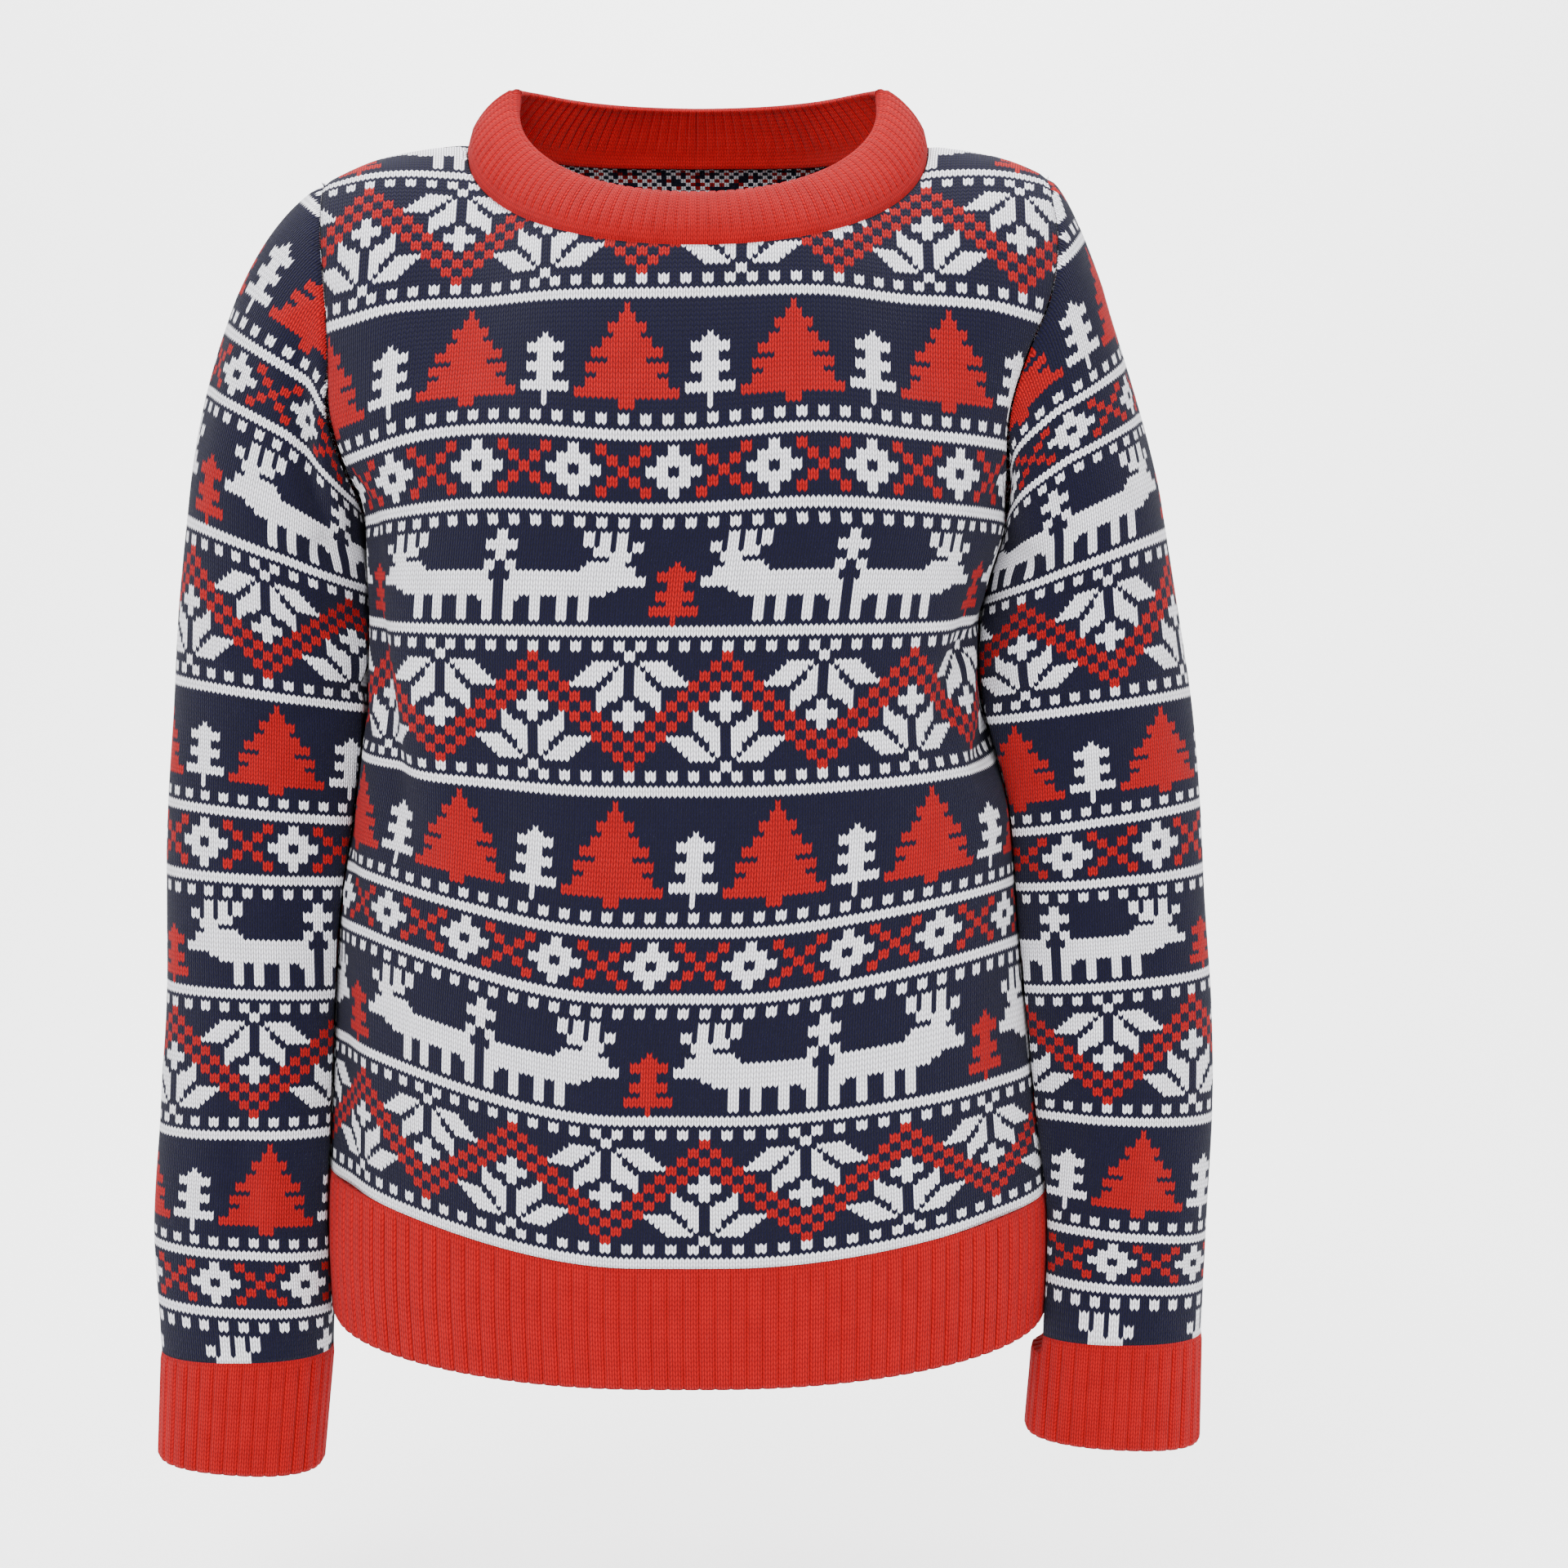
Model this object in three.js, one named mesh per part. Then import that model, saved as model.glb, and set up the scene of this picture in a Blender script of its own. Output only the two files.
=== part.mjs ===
// A knitted crew-neck sweater, filled out as it is when worn, with open neck, hem and cuffs.
// Millimetres, +Z up. The front faces -Y, and +X is the wearer's left.
// The origin is the middle of the neck opening, level with the highest points of the shoulders.
import * as THREE from "three";

// Driving sizes
const WALL = 3; // thickness of the two-layer jacquard knit
const RIB_WALL = 3.6; // thickness of the ribbed welts at a crest
const SEAM_GAP = 0.5; // between two pieces along a seam
const HEM_TOP_Z = -611;
const HEM_LENGTH = 66;
const HEM_RIBS = 60; // on each of the front and the back
const CUFF_RIBS = 34;
const NECK_RIBS = 110;
const RIB_HEIGHT = 1.5; // from a groove to a crest
const ARMPIT_Z = -215;
const NECK_HALF_WIDTH = 126;
const NECK_CENTRE_X = 3;
const NECK_DROP = { front: 65, back: 2 };
const BAND_THICKNESS = 6;
const BAND_TOP = { halfWidth: 100, front: -71, back: 46, sideZ: 22, frontDrop: 66, backDrop: 4 };
const SLEEVE_CLEARANCE = 1.2; // between a sleeve and the body it hangs against

// The cross-sections of the body, from the armpits down. left and right are the side seams,
// front and back the depths, square how boxy the curve is, lift how far a row rises at the seams.
const BODY = [
  { z: -140, left: -186, right: 180, front: 118, back: 112, square: 2.5, lift: -8 },
  { z: -180, left: -182, right: 176, front: 121, back: 112, square: 2.6, lift: -8 },
  { z: -215, left: -179, right: 172, front: 121, back: 111, square: 2.8, lift: -6 },
  { z: -250, left: -178, right: 163, front: 120, back: 111, square: 3.0, lift: 4 },
  { z: -285, left: -177, right: 157, front: 119, back: 110, square: 3.1, lift: 10 },
  { z: -325, left: -179, right: 158, front: 117, back: 109, square: 3.0, lift: 12 },
  { z: -385, left: -186, right: 174, front: 114, back: 107, square: 2.6, lift: 6 },
  { z: -463, left: -197, right: 181, front: 111, back: 104, square: 2.4, lift: 0 },
  { z: -540, left: -202, right: 190, front: 108, back: 101, square: 2.3, lift: 5 },
  { z: -611, left: -205, right: 198, front: 106, back: 98, square: 2.3, lift: 13 },
  { z: -645, left: -206, right: 199, front: 105, back: 97, square: 2.3, lift: 16 },
  { z: -685, left: -203, right: 197, front: 104, back: 96, square: 2.3, lift: 19 },
];

// The rows are also drawn up at the sides, most on the wearer's right, because the garment hangs
// a little askew. Each side's rise is full from RISE.to of the way round to its seam.
const SIDE_RISE = [
  { z: -285, left: 0, right: 0 },
  { z: -325, left: 2, right: 2 },
  { z: -385, left: 16, right: 10 },
  { z: -463, left: 31, right: 21 },
  { z: -540, left: 30, right: 10 },
  { z: -611, left: 26, right: 14 },
  { z: -645, left: 14, right: 9 },
  { z: -685, left: 3, right: 3 },
];
const RISE = { from: 0.1, to: 0.85 };

// The two armhole edges seen from the front, and how far each stands inside the section's full width.
const ARMHOLE = [
  { z: -30, left: -203, right: 195, inset: 0.11 },
  { z: -66, left: -200, right: 198, inset: 0.11 },
  { z: -98, left: -196, right: 193, inset: 0.11 },
  { z: -130, left: -194, right: 180, inset: 0.105 },
  { z: -160, left: -193, right: 171, inset: 0.09 },
  { z: -185, left: -187, right: 170, inset: 0.06 },
  { z: -205, left: -180, right: 171, inset: 0.02 },
  { z: -215, left: -179, right: 172, inset: 0 },
];

// The shoulder line: its height at a distance from the middle of the body.
const SHOULDER = [
  { out: 0, z: 4 },
  { out: 60, z: 1 },
  { out: 115, z: -8 },
  { out: 150, z: -13 },
  { out: 175, z: -19 },
  { out: 200, z: -30 },
  { out: 215, z: -38 },
];
const ROLL_START_Z = -210; // where the chest begins to lean back to the shoulder
const ROLL_POWER = { front: 2, back: 2.4 };
const NECK_SLOPE = { out: 118, width: 42, front: 0.5, back: 0.7 }; // flatter beside the neck

// Rings of the sleeves. outer and inner are distances from the middle of the body, outerZ and
// innerZ their heights, half is half the sleeve's depth and y how far its middle is moved.
const SLEEVE = {
  left: [
    { outer: 258, outerZ: -203, inner: 160, innerZ: -247, half: 57, y: 0 },
    { outer: 268, outerZ: -262, inner: 150, innerZ: -290, half: 53, y: 0 },
    { outer: 277, outerZ: -318, inner: 150, innerZ: -332, half: 49, y: 0 },
    { outer: 282, outerZ: -372, inner: 163, innerZ: -378, half: 46, y: -1 },
    { outer: 285, outerZ: -428, inner: 171, innerZ: -428, half: 44, y: -3 },
    { outer: 289, outerZ: -484, inner: 177, innerZ: -484, half: 42, y: -5 },
    { outer: 290, outerZ: -540, inner: 183, innerZ: -540, half: 40, y: -7 },
    { outer: 287, outerZ: -600, inner: 190, innerZ: -600, half: 38, y: -10 },
    { outer: 284, outerZ: -668, inner: 191, innerZ: -668, half: 37, y: -13 },
  ],
  right: [
    { outer: 278, outerZ: -203, inner: 174, innerZ: -247, half: 57, y: 0 },
    { outer: 285, outerZ: -262, inner: 168, innerZ: -290, half: 52, y: 0 },
    { outer: 289, outerZ: -318, inner: 171, innerZ: -332, half: 48, y: 0 },
    { outer: 293, outerZ: -372, inner: 178, innerZ: -378, half: 45, y: -1 },
    { outer: 295, outerZ: -428, inner: 185, innerZ: -428, half: 43, y: -3 },
    { outer: 296, outerZ: -484, inner: 190, innerZ: -484, half: 41, y: -5 },
    { outer: 299, outerZ: -545, inner: 194, innerZ: -545, half: 39, y: -7 },
    { outer: 303, outerZ: -610, inner: 198, innerZ: -610, half: 38, y: -10 },
    { outer: 299, outerZ: -678, inner: 204, innerZ: -678, half: 37, y: -13 },
  ],
};
const SLEEVE_SQUARE = 2.3;
const CAP_FULLNESS = { left: 0.4, right: 0.92 }; // how far the top of each sleeve swells out
const CUFF_END = {
  left: { outer: 283, outerZ: -729, inner: 186, innerZ: -724, half: 36, y: -16 },
  right: { outer: 301, outerZ: -737, inner: 210, innerZ: -744, half: 36, y: -16 },
};

// Large soft folds. Each runs from (t0, z0) to (t1, z1); t is -1 and 1 at the side seams and 0 in
// the middle. width is across the fold, and a negative depth is a trough.
const FOLDS = {
  front: [
    { t0: -0.78, z0: -232, t1: -0.6, z1: -400, width: 15, depth: -8 },
    { t0: -0.62, z0: -240, t1: -0.47, z1: -420, width: 18, depth: 3.5 },
    { t0: 0.8, z0: -235, t1: 0.6, z1: -345, width: 15, depth: -6 },
    { t0: 0.93, z0: -330, t1: 0.7, z1: -350, width: 12, depth: -6 },
    { t0: -0.86, z0: -420, t1: -0.72, z1: -640, width: 20, depth: -4 },
    { t0: 0.82, z0: -430, t1: 0.72, z1: -640, width: 20, depth: -3.5 },
  ],
  back: [
    { t0: -0.8, z0: -232, t1: -0.42, z1: -380, width: 18, depth: -7 },
    { t0: 0.78, z0: -236, t1: 0.45, z1: -410, width: 17, depth: -7 },
    { t0: -0.3, z0: -330, t1: -0.22, z1: -600, width: 26, depth: -5 },
    { t0: 0.28, z0: -370, t1: 0.33, z1: -630, width: 24, depth: -5 },
    { t0: 0.02, z0: -90, t1: 0, z1: -230, width: 30, depth: -4 },
  ],
};

// Counts of the meshes' columns and rows
const NECK_COLUMNS = 12;
const SHOULDER_COLUMNS = 6;
const CAP_COLUMNS = 10; // from the armpit to the shoulder, on the front or on the back
const BODY_ROWS = 15;
const CAP_ROWS = 7;
const ARM_ROWS = 15;
const PLAIN_RIB_COLUMNS = 24;
const ARC_STEPS = 60;

const NAVY = new THREE.MeshStandardMaterial({ color: 0x1d1e40, roughness: 0.9, metalness: 0 });
const RED = new THREE.MeshStandardMaterial({ color: 0xd00a0c, roughness: 0.9, metalness: 0 });

const mix = (a, b, f) => a + (b - a) * f;
const clamp = (v, low, high) => Math.min(high, Math.max(low, v));
const point = (x, y, z) => new THREE.Vector3(x, y, z);
const steps = (count) => Array.from({ length: count + 1 }, (_, i) => i / count);

// Reads a column of a table at a place between its rows, along a smooth curve.
function follow(table, by, key, at) {
  const rows = [...table].sort((a, b) => a[by] - b[by]);
  const last = rows.length - 1;
  const here = clamp(at, rows[0][by], rows[last][by]);
  let i = 0;
  while (i < last - 1 && rows[i + 1][by] < here) i += 1;
  const slope = (k) => {
    const a = rows[Math.max(0, k - 1)];
    const b = rows[Math.min(last, k + 1)];
    return (b[key] - a[key]) / (b[by] - a[by]);
  };
  const [a, b] = [rows[i], rows[i + 1]];
  const span = b[by] - a[by];
  const f = (here - a[by]) / span;
  const [f2, f3] = [f * f, f * f * f];
  return (
    (2 * f3 - 3 * f2 + 1) * a[key] +
    (f3 - 2 * f2 + f) * span * slope(i) +
    (3 * f2 - 2 * f3) * b[key] +
    (f3 - f2) * span * slope(i + 1)
  );
}

// How far out a rounded section still stands, at a share of its half width.
const bow = (share, power) => Math.max(0, 1 - Math.min(1, share) ** power) ** (1 / power);

// A quarter of a rounded section from its front to its side, at an even share of its length.
function quarter(a, b, power, share) {
  const at = (f) => {
    const turn = (f * Math.PI) / 2;
    return [a * Math.sin(turn) ** (2 / power), b * Math.cos(turn) ** (2 / power)];
  };
  const points = steps(ARC_STEPS).map(at);
  const lengths = [0];
  for (let i = 1; i < points.length; i += 1) {
    const step = Math.hypot(points[i][0] - points[i - 1][0], points[i][1] - points[i - 1][1]);
    lengths.push(lengths[i - 1] + step);
  }
  const goal = share * lengths[ARC_STEPS];
  let i = 1;
  while (i < ARC_STEPS && lengths[i] < goal) i += 1;
  const f = (goal - lengths[i - 1]) / (lengths[i] - lengths[i - 1]);
  return [mix(points[i - 1][0], points[i][0], f), mix(points[i - 1][1], points[i][1], f)];
}

// How far a row of the body rises at a place round it.
function rise(t, z) {
  const share = clamp((Math.abs(t) - RISE.from) / (RISE.to - RISE.from), 0, 1);
  return follow(SIDE_RISE, "z", t < 0 ? "left" : "right", z) * share * share * (3 - 2 * share);
}

// A point of the body's section at height z. t runs from -1 to 1 between the side seams.
function bodyPoint(side, t, z) {
  const left = follow(BODY, "z", "left", z);
  const right = follow(BODY, "z", "right", z);
  const depth = follow(BODY, "z", side, z);
  const square = follow(BODY, "z", "square", z);
  const lift = follow(BODY, "z", "lift", z) * Math.abs(t) ** 3 + rise(t, z);
  const [x, y] = quarter((right - left) / 2, depth, square, Math.abs(t));
  const forward = side === "front" ? -1 : 1;
  return point((left + right) / 2 + Math.sign(t) * x, forward * y, z + lift);
}

// How far the body reaches to one side at a depth and height, to hang a sleeve beside it.
function bodyReach(sign, y, z) {
  if (z < HEM_TOP_Z - HEM_LENGTH) return 0;
  const level = z - follow(BODY, "z", "lift", z) - rise(sign, z);
  const left = follow(BODY, "z", "left", level);
  const right = follow(BODY, "z", "right", level);
  const depth = follow(BODY, "z", y < 0 ? "front" : "back", level);
  const rib = level < HEM_TOP_Z + 10 ? RIB_HEIGHT / 2 : 0;
  const half = ((right - left) / 2) * bow(Math.abs(y) / depth, follow(BODY, "z", "square", level));
  return half + (sign * (left + right)) / 2 + rib;
}

const shoulderZ = (x) => follow(SHOULDER, "out", "z", Math.abs(x));

// The depth of the chest or the back over the armpits, at a place seen from the front.
function chestDepth(side, x, z) {
  const left = follow(ARMHOLE, "z", "left", z);
  const right = follow(ARMHOLE, "z", "right", z);
  const inset = follow(ARMHOLE, "z", "inset", z);
  const halfWidth = ((right - left) / 2) * (1 + inset);
  const share = Math.abs(x - (left + right) / 2) / halfWidth;
  const full = follow(BODY, "z", side, z) * bow(share, follow(BODY, "z", "square", z));
  const rolled = clamp((z - ROLL_START_Z) / (shoulderZ(x) - ROLL_START_Z), 0, 1);
  const beside = Math.exp(-(((Math.abs(x - NECK_CENTRE_X) - NECK_SLOPE.out) / NECK_SLOPE.width) ** 2));
  return full * bow(rolled, ROLL_POWER[side] - NECK_SLOPE[side] * beside);
}

function chestPoint(side, x, z) {
  return point(x, (side === "front" ? -1 : 1) * chestDepth(side, x, z), z);
}

// The neck hole's edge seen from the front.
function neckZ(side, x) {
  const share = Math.abs(x - NECK_CENTRE_X) / NECK_HALF_WIDTH;
  const corner = shoulderZ(NECK_CENTRE_X + (x < NECK_CENTRE_X ? -1 : 1) * NECK_HALF_WIDTH);
  return corner - NECK_DROP[side] * bow(share, 2.2);
}

// Where each column of a panel ends at the top, from one shoulder to the other.
function panelTops(side) {
  const tipLeft = ARMHOLE[0].left;
  const tipRight = ARMHOLE[0].right;
  const tops = [];
  for (let i = 0; i < SHOULDER_COLUMNS; i += 1) {
    const x = mix(tipLeft, NECK_CENTRE_X - NECK_HALF_WIDTH, i / SHOULDER_COLUMNS);
    tops.push({ x, z: shoulderZ(x) });
  }
  for (let i = 0; i <= NECK_COLUMNS; i += 1) {
    const turn = (i / NECK_COLUMNS - 0.5) * Math.PI;
    const x = NECK_CENTRE_X + NECK_HALF_WIDTH * Math.sin(turn);
    tops.push({ x, z: neckZ(side, x) });
  }
  for (let i = 1; i <= SHOULDER_COLUMNS; i += 1) {
    const x = mix(NECK_CENTRE_X + NECK_HALF_WIDTH, tipRight, i / SHOULDER_COLUMNS);
    tops.push({ x, z: shoulderZ(x) });
  }
  return tops;
}

// Heights of the rows over the armpit, as a share of the way to the shoulder. They are close
// together at both ends, where the armhole turns.
const capShares = steps(CAP_COLUMNS).map((f) => (1 - Math.cos(f * Math.PI)) / 2);

// The outer surface of the front or back panel as rows of points, from the welt up.
function panelGrid(side) {
  const tops = panelTops(side);
  const count = tops.length - 1;
  const across = tops.map((_, i) => (2 * i) / count - 1);
  const rows = [];
  for (let r = 0; r < BODY_ROWS; r += 1) {
    const z = mix(HEM_TOP_Z, ARMPIT_Z, r / BODY_ROWS);
    rows.push(across.map((t) => bodyPoint(side, t, z)));
  }
  const base = across.map((t) => bodyPoint(side, t, ARMPIT_Z));
  const armpitLift = base[0].z - ARMPIT_Z;
  for (const share of capShares) {
    rows.push(
      tops.map((top, i) => {
        const z = mix(base[i].z - armpitLift * Math.abs(across[i]) ** 3, top.z, share);
        const left = follow(ARMHOLE, "z", "left", z);
        const right = follow(ARMHOLE, "z", "right", z);
        const low = (base[i].x - base[0].x) / (base[count].x - base[0].x);
        const high = (top.x - tops[0].x) / (tops[count].x - tops[0].x);
        const ease = share * share * (3 - 2 * share);
        return chestPoint(side, mix(left, right, mix(low, high, ease)), z);
      }),
    );
  }
  return rows;
}

// Moves a point of a panel by the large folds near it.
function foldDepth(folds, t, z, reach) {
  let sum = 0;
  for (const fold of folds) {
    const [dx, dz] = [(fold.t1 - fold.t0) * reach, fold.z1 - fold.z0];
    const [px, pz] = [(t - fold.t0) * reach, z - fold.z0];
    const length = Math.hypot(dx, dz);
    const along = (px * dx + pz * dz) / (length * length);
    const aside = (px * dz - pz * dx) / length;
    if (along > 0 && along < 1) {
      const fade = Math.sin(along * Math.PI) ** 0.8;
      sum += fold.depth * fade * Math.exp(-((aside / fold.width) ** 2));
    }
  }
  return sum;
}

// Unit normals of a grid of points, pointing out of the garment.
function normalsOf(grid, closed) {
  const high = grid.length - 1;
  const wide = grid[0].length;
  return grid.map((row, r) =>
    row.map((_, c) => {
      const before = closed ? (c + wide - 1) % wide : Math.max(0, c - 1);
      const after = closed ? (c + 1) % wide : Math.min(wide - 1, c + 1);
      const across = row[after].clone().sub(row[before]);
      const up = grid[Math.min(high, r + 1)][c].clone().sub(grid[Math.max(0, r - 1)][c]);
      return across.cross(up).normalize();
    }),
  );
}

function foldPanel(side, grid) {
  const normals = normalsOf(grid, false);
  const count = grid[0].length - 1;
  const reach = 240;
  return grid.map((row, r) =>
    row.map((p, c) => {
      const t = (2 * c) / count - 1;
      const edge = clamp((1 - Math.abs(t)) * 8, 0, 1) * clamp((grid.length - 1 - r) / 2, 0, 1);
      const depth = foldDepth(FOLDS[side], t, p.z, reach) * edge;
      return p.clone().addScaledVector(normals[r][c], depth);
    }),
  );
}

// A point of a sleeve's ring. turn is 0 at the outer side, pi at the underarm, and negative
// on the back.
function ringPoint(sign, ring, turn) {
  const half = (ring.outer - ring.inner) / 2;
  const share = Math.abs(turn) / Math.PI;
  const fromFront = Math.abs(share - 0.5) * 2;
  const [x, y] = quarter(half, ring.half, SLEEVE_SQUARE, fromFront);
  const out = share < 0.5 ? x : -x;
  const middle = (ring.outer + ring.inner) / 2;
  const z = mix(ring.innerZ, ring.outerZ, (out + half) / (2 * half));
  const place = point(sign * (middle + out), ring.y + (turn > 0 ? -y : y), z);
  const least = bodyReach(sign, place.y, z) + SLEEVE_CLEARANCE;
  if (out < 0) place.x = sign * Math.max(middle + out, least);
  return place;
}

function ringBetween(table, f) {
  const rows = table.map((row, i) => ({ ...row, i }));
  const at = (key) => follow(rows, "i", key, f * (rows.length - 1));
  return {
    outer: at("outer"),
    inner: at("inner"),
    outerZ: at("outerZ"),
    innerZ: at("innerZ"),
    half: at("half"),
    y: at("y"),
  };
}

// The turns of a sleeve's columns, once round from the underarm by the back to the outer side
// and by the front to the underarm again.
const sleeveTurns = Array.from({ length: 2 * CAP_COLUMNS }, (_, i) => (i / CAP_COLUMNS - 1) * Math.PI);

// The armhole's edge as the sleeve meets it, in the order of the sleeve's columns.
function armholeLoop(sign, panels) {
  return sleeveTurns.map((_, i) => {
    const onBack = i < CAP_COLUMNS;
    const step = onBack ? i : 2 * CAP_COLUMNS - i;
    const grid = onBack ? panels.back : panels.front;
    const row = grid[BODY_ROWS + step];
    return (sign > 0 ? row[row.length - 1] : row[0]).clone();
  });
}

// One line of the sleeve's cap, from the top ring to the armhole's edge.
function capLine(side, from, under, to, turn, f) {
  const sign = side === "left" ? 1 : -1;
  const level = Math.cos(turn) * 0.5 + 0.5;
  const pull = from.distanceTo(to) * mix(0.5, CAP_FULLNESS[side], level);
  const rise = from.clone().sub(under).normalize();
  const inward = point(-sign * mix(0.32, 0.86, level), 0, mix(0.95, 0.5, level)).normalize();
  const [f2, f3] = [f * f, f * f * f];
  return from
    .clone()
    .multiplyScalar(2 * f3 - 3 * f2 + 1)
    .addScaledVector(rise, (f3 - 2 * f2 + f) * pull)
    .addScaledVector(to, 3 * f2 - 2 * f3)
    .addScaledVector(inward, (f3 - f2) * pull);
}

// The outer surface of a sleeve as rings of points, from the cuff up.
function sleeveGrid(side, panels) {
  const sign = side === "left" ? 1 : -1;
  const table = SLEEVE[side];
  const rows = [];
  for (let r = 0; r <= ARM_ROWS; r += 1) {
    const ring = ringBetween(table, 1 - r / ARM_ROWS);
    rows.push(sleeveTurns.map((turn) => ringPoint(sign, ring, turn)));
  }
  const loop = armholeLoop(sign, panels);
  const top = rows[ARM_ROWS];
  const under = rows[ARM_ROWS - 1];
  for (let r = 1; r <= CAP_ROWS; r += 1) {
    const f = r / CAP_ROWS;
    rows.push(top.map((p, c) => capLine(side, p, under[c], loop[c], sleeveTurns[c], f)));
  }
  return sign < 0 ? rows : rows.map((row) => [row[0], ...row.slice(1).reverse()]);
}

// Pieces that share an edge share its normals too, so that their walls meet flush. The body's
// pieces count as one against a sleeve, because under the arm the two face each other.
const placeOf = (p) => [p.x, p.y, p.z].map((v) => Math.round(v * 100)).join(" ");

function shareNormals(body, sleeves) {
  const sums = new Map();
  const collect = (sheet, kind) =>
    sheet.grid.forEach((row, r) =>
      row.forEach((p, c) => {
        const key = placeOf(p);
        if (!sums.has(key)) sums.set(key, { body: point(0, 0, 0), sleeve: point(0, 0, 0) });
        sums.get(key)[kind].add(sheet.normals[r][c]);
      }),
    );
  body.forEach((sheet) => collect(sheet, "body"));
  sleeves.forEach((sheet) => collect(sheet, "sleeve"));
  for (const sheet of [...body, ...sleeves])
    sheet.normals = sheet.grid.map((row) =>
      row.map((p) => {
        const sum = sums.get(placeOf(p));
        return sum.body.clone().normalize().add(sum.sleeve.clone().normalize()).normalize();
      }),
    );
}

// Draws a sheet's edges in by half the seam gap, square to each edge and along the cloth.
function drawIn(sheet) {
  const { grid, normals, closed } = sheet;
  const high = grid.length - 1;
  const wide = grid[0].length;
  const column = (c) => (closed ? (c + wide) % wide : clamp(c, 0, wide - 1));
  const row = (r) => clamp(r, 0, high);
  return grid.map((line, r) =>
    line.map((p, c) => {
      const moved = p.clone();
      const pull = (from, to, inside) => {
        const edge = to.clone().sub(from);
        const square = edge.cross(normals[r][c]).normalize();
        const side = Math.sign(square.dot(inside.clone().sub(p))) || 1;
        moved.addScaledVector(square, (side * SEAM_GAP) / 2);
      };
      if (r === 0 || r === high) {
        pull(line[column(c - 1)], line[column(c + 1)], grid[r === 0 ? 1 : high - 1][c]);
      }
      if (!closed && (c === 0 || c === wide - 1)) {
        pull(grid[row(r - 1)][c], grid[row(r + 1)][c], line[c === 0 ? 1 : wide - 2]);
      }
      return moved;
    }),
  );
}

// A closed body from an outer and an inner grid, whose counts of columns may differ.
function wallMesh(name, outer, inner, closed, material) {
  const positions = [];
  const triangle = (a, b, c) => positions.push(...a.toArray(), ...b.toArray(), ...c.toArray());
  const face = (grid, flip) => {
    const wide = grid[0].length;
    for (let r = 0; r + 1 < grid.length; r += 1)
      for (let c = 0; c + 1 < wide + (closed ? 1 : 0); c += 1) {
        const [a, b] = [grid[r][c], grid[r][(c + 1) % wide]];
        const [d, e] = [grid[r + 1][c], grid[r + 1][(c + 1) % wide]];
        if (flip) {
          triangle(a, e, b);
          triangle(a, d, e);
        } else {
          triangle(a, b, e);
          triangle(a, e, d);
        }
      }
  };
  const strip = (from, to, flip) => {
    let [i, j] = [0, 0];
    while (i + 1 < from.length || j + 1 < to.length) {
      const next = (i + 1) / (from.length - 1) <= (j + 1) / (to.length - 1);
      const [a, b] = [from[i], to[j]];
      const c = next ? from[i + 1] : to[j + 1];
      if (flip) triangle(a, c, b);
      else triangle(a, b, c);
      if (next) i += 1;
      else j += 1;
    }
  };
  const ringOf = (row) => (closed ? [...row, row[0]] : row);
  const columnOf = (grid, c) => grid.map((row) => row[c]);
  face(outer, false);
  face(inner, true);
  strip(ringOf(outer[0]), ringOf(inner[0]), false);
  strip(ringOf(outer[outer.length - 1]), ringOf(inner[inner.length - 1]), true);
  if (!closed) {
    strip(columnOf(outer, 0), columnOf(inner, 0), true);
    strip(columnOf(outer, outer[0].length - 1), columnOf(inner, inner[0].length - 1), false);
  }
  const geometry = new THREE.BufferGeometry();
  geometry.setAttribute("position", new THREE.Float32BufferAttribute(positions, 3));
  geometry.computeVertexNormals();
  const mesh = new THREE.Mesh(geometry, material);
  mesh.name = name;
  return mesh;
}

function clothMesh(name, sheet, material) {
  const outer = drawIn(sheet);
  const inner = outer.map((row, r) =>
    row.map((p, c) => p.clone().addScaledVector(sheet.normals[r][c], -WALL)),
  );
  return wallMesh(name, outer, inner, sheet.closed, material);
}

// A place along a chain of points, at a share of its columns.
function alongChain(chain, share) {
  const at = clamp(share, 0, 1) * (chain.length - 1);
  const i = Math.min(chain.length - 2, Math.floor(at));
  return chain[i].clone().lerp(chain[i + 1], at - i);
}

// The shares of a chain's columns that lie at even lengths along it.
function evenShares(chain, count) {
  const lengths = [0];
  for (let i = 1; i < chain.length; i += 1)
    lengths.push(lengths[i - 1] + chain[i].distanceTo(chain[i - 1]));
  const whole = lengths[lengths.length - 1];
  let i = 1;
  return steps(count).map((f) => {
    while (i < chain.length - 1 && lengths[i] < f * whole) i += 1;
    const part = (f * whole - lengths[i - 1]) / (lengths[i] - lengths[i - 1]);
    return (i - 1 + part) / (chain.length - 1);
  });
}

// A ribbed welt between two chains of points, the upper one on the piece it is sewn to.
function ribMesh(name, upper, lower, ribs, closed, plainColumns, keep = (p) => p) {
  const lines = [0, 0.1, 0.55, 1];
  const build = (columns, raised) => {
    const shares = steps(columns).slice(0, closed ? columns : columns + 1);
    const grid = [...lines].reverse().map((f) =>
      shares.map((share) => {
        const top = alongChain(upper, share);
        return top.lerp(alongChain(lower, share), f);
      }),
    );
    const normals = normalsOf(grid, closed);
    return grid.map((row, r) =>
      row.map((p, c) => {
        const f = lines[lines.length - 1 - r];
        const crest = c % 2 === 1 ? RIB_HEIGHT / 2 : -RIB_HEIGHT / 2;
        const relief = raised ? (f === 0 ? 0 : crest) : -RIB_WALL;
        return keep(p.clone().addScaledVector(normals[r][c], relief));
      }),
    );
  };
  return wallMesh(name, build(2 * ribs, true), build(plainColumns, false), closed, RED);
}

const dropBy = (chain, distance) => chain.map((p) => point(p.x, p.y, p.z - distance));

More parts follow.
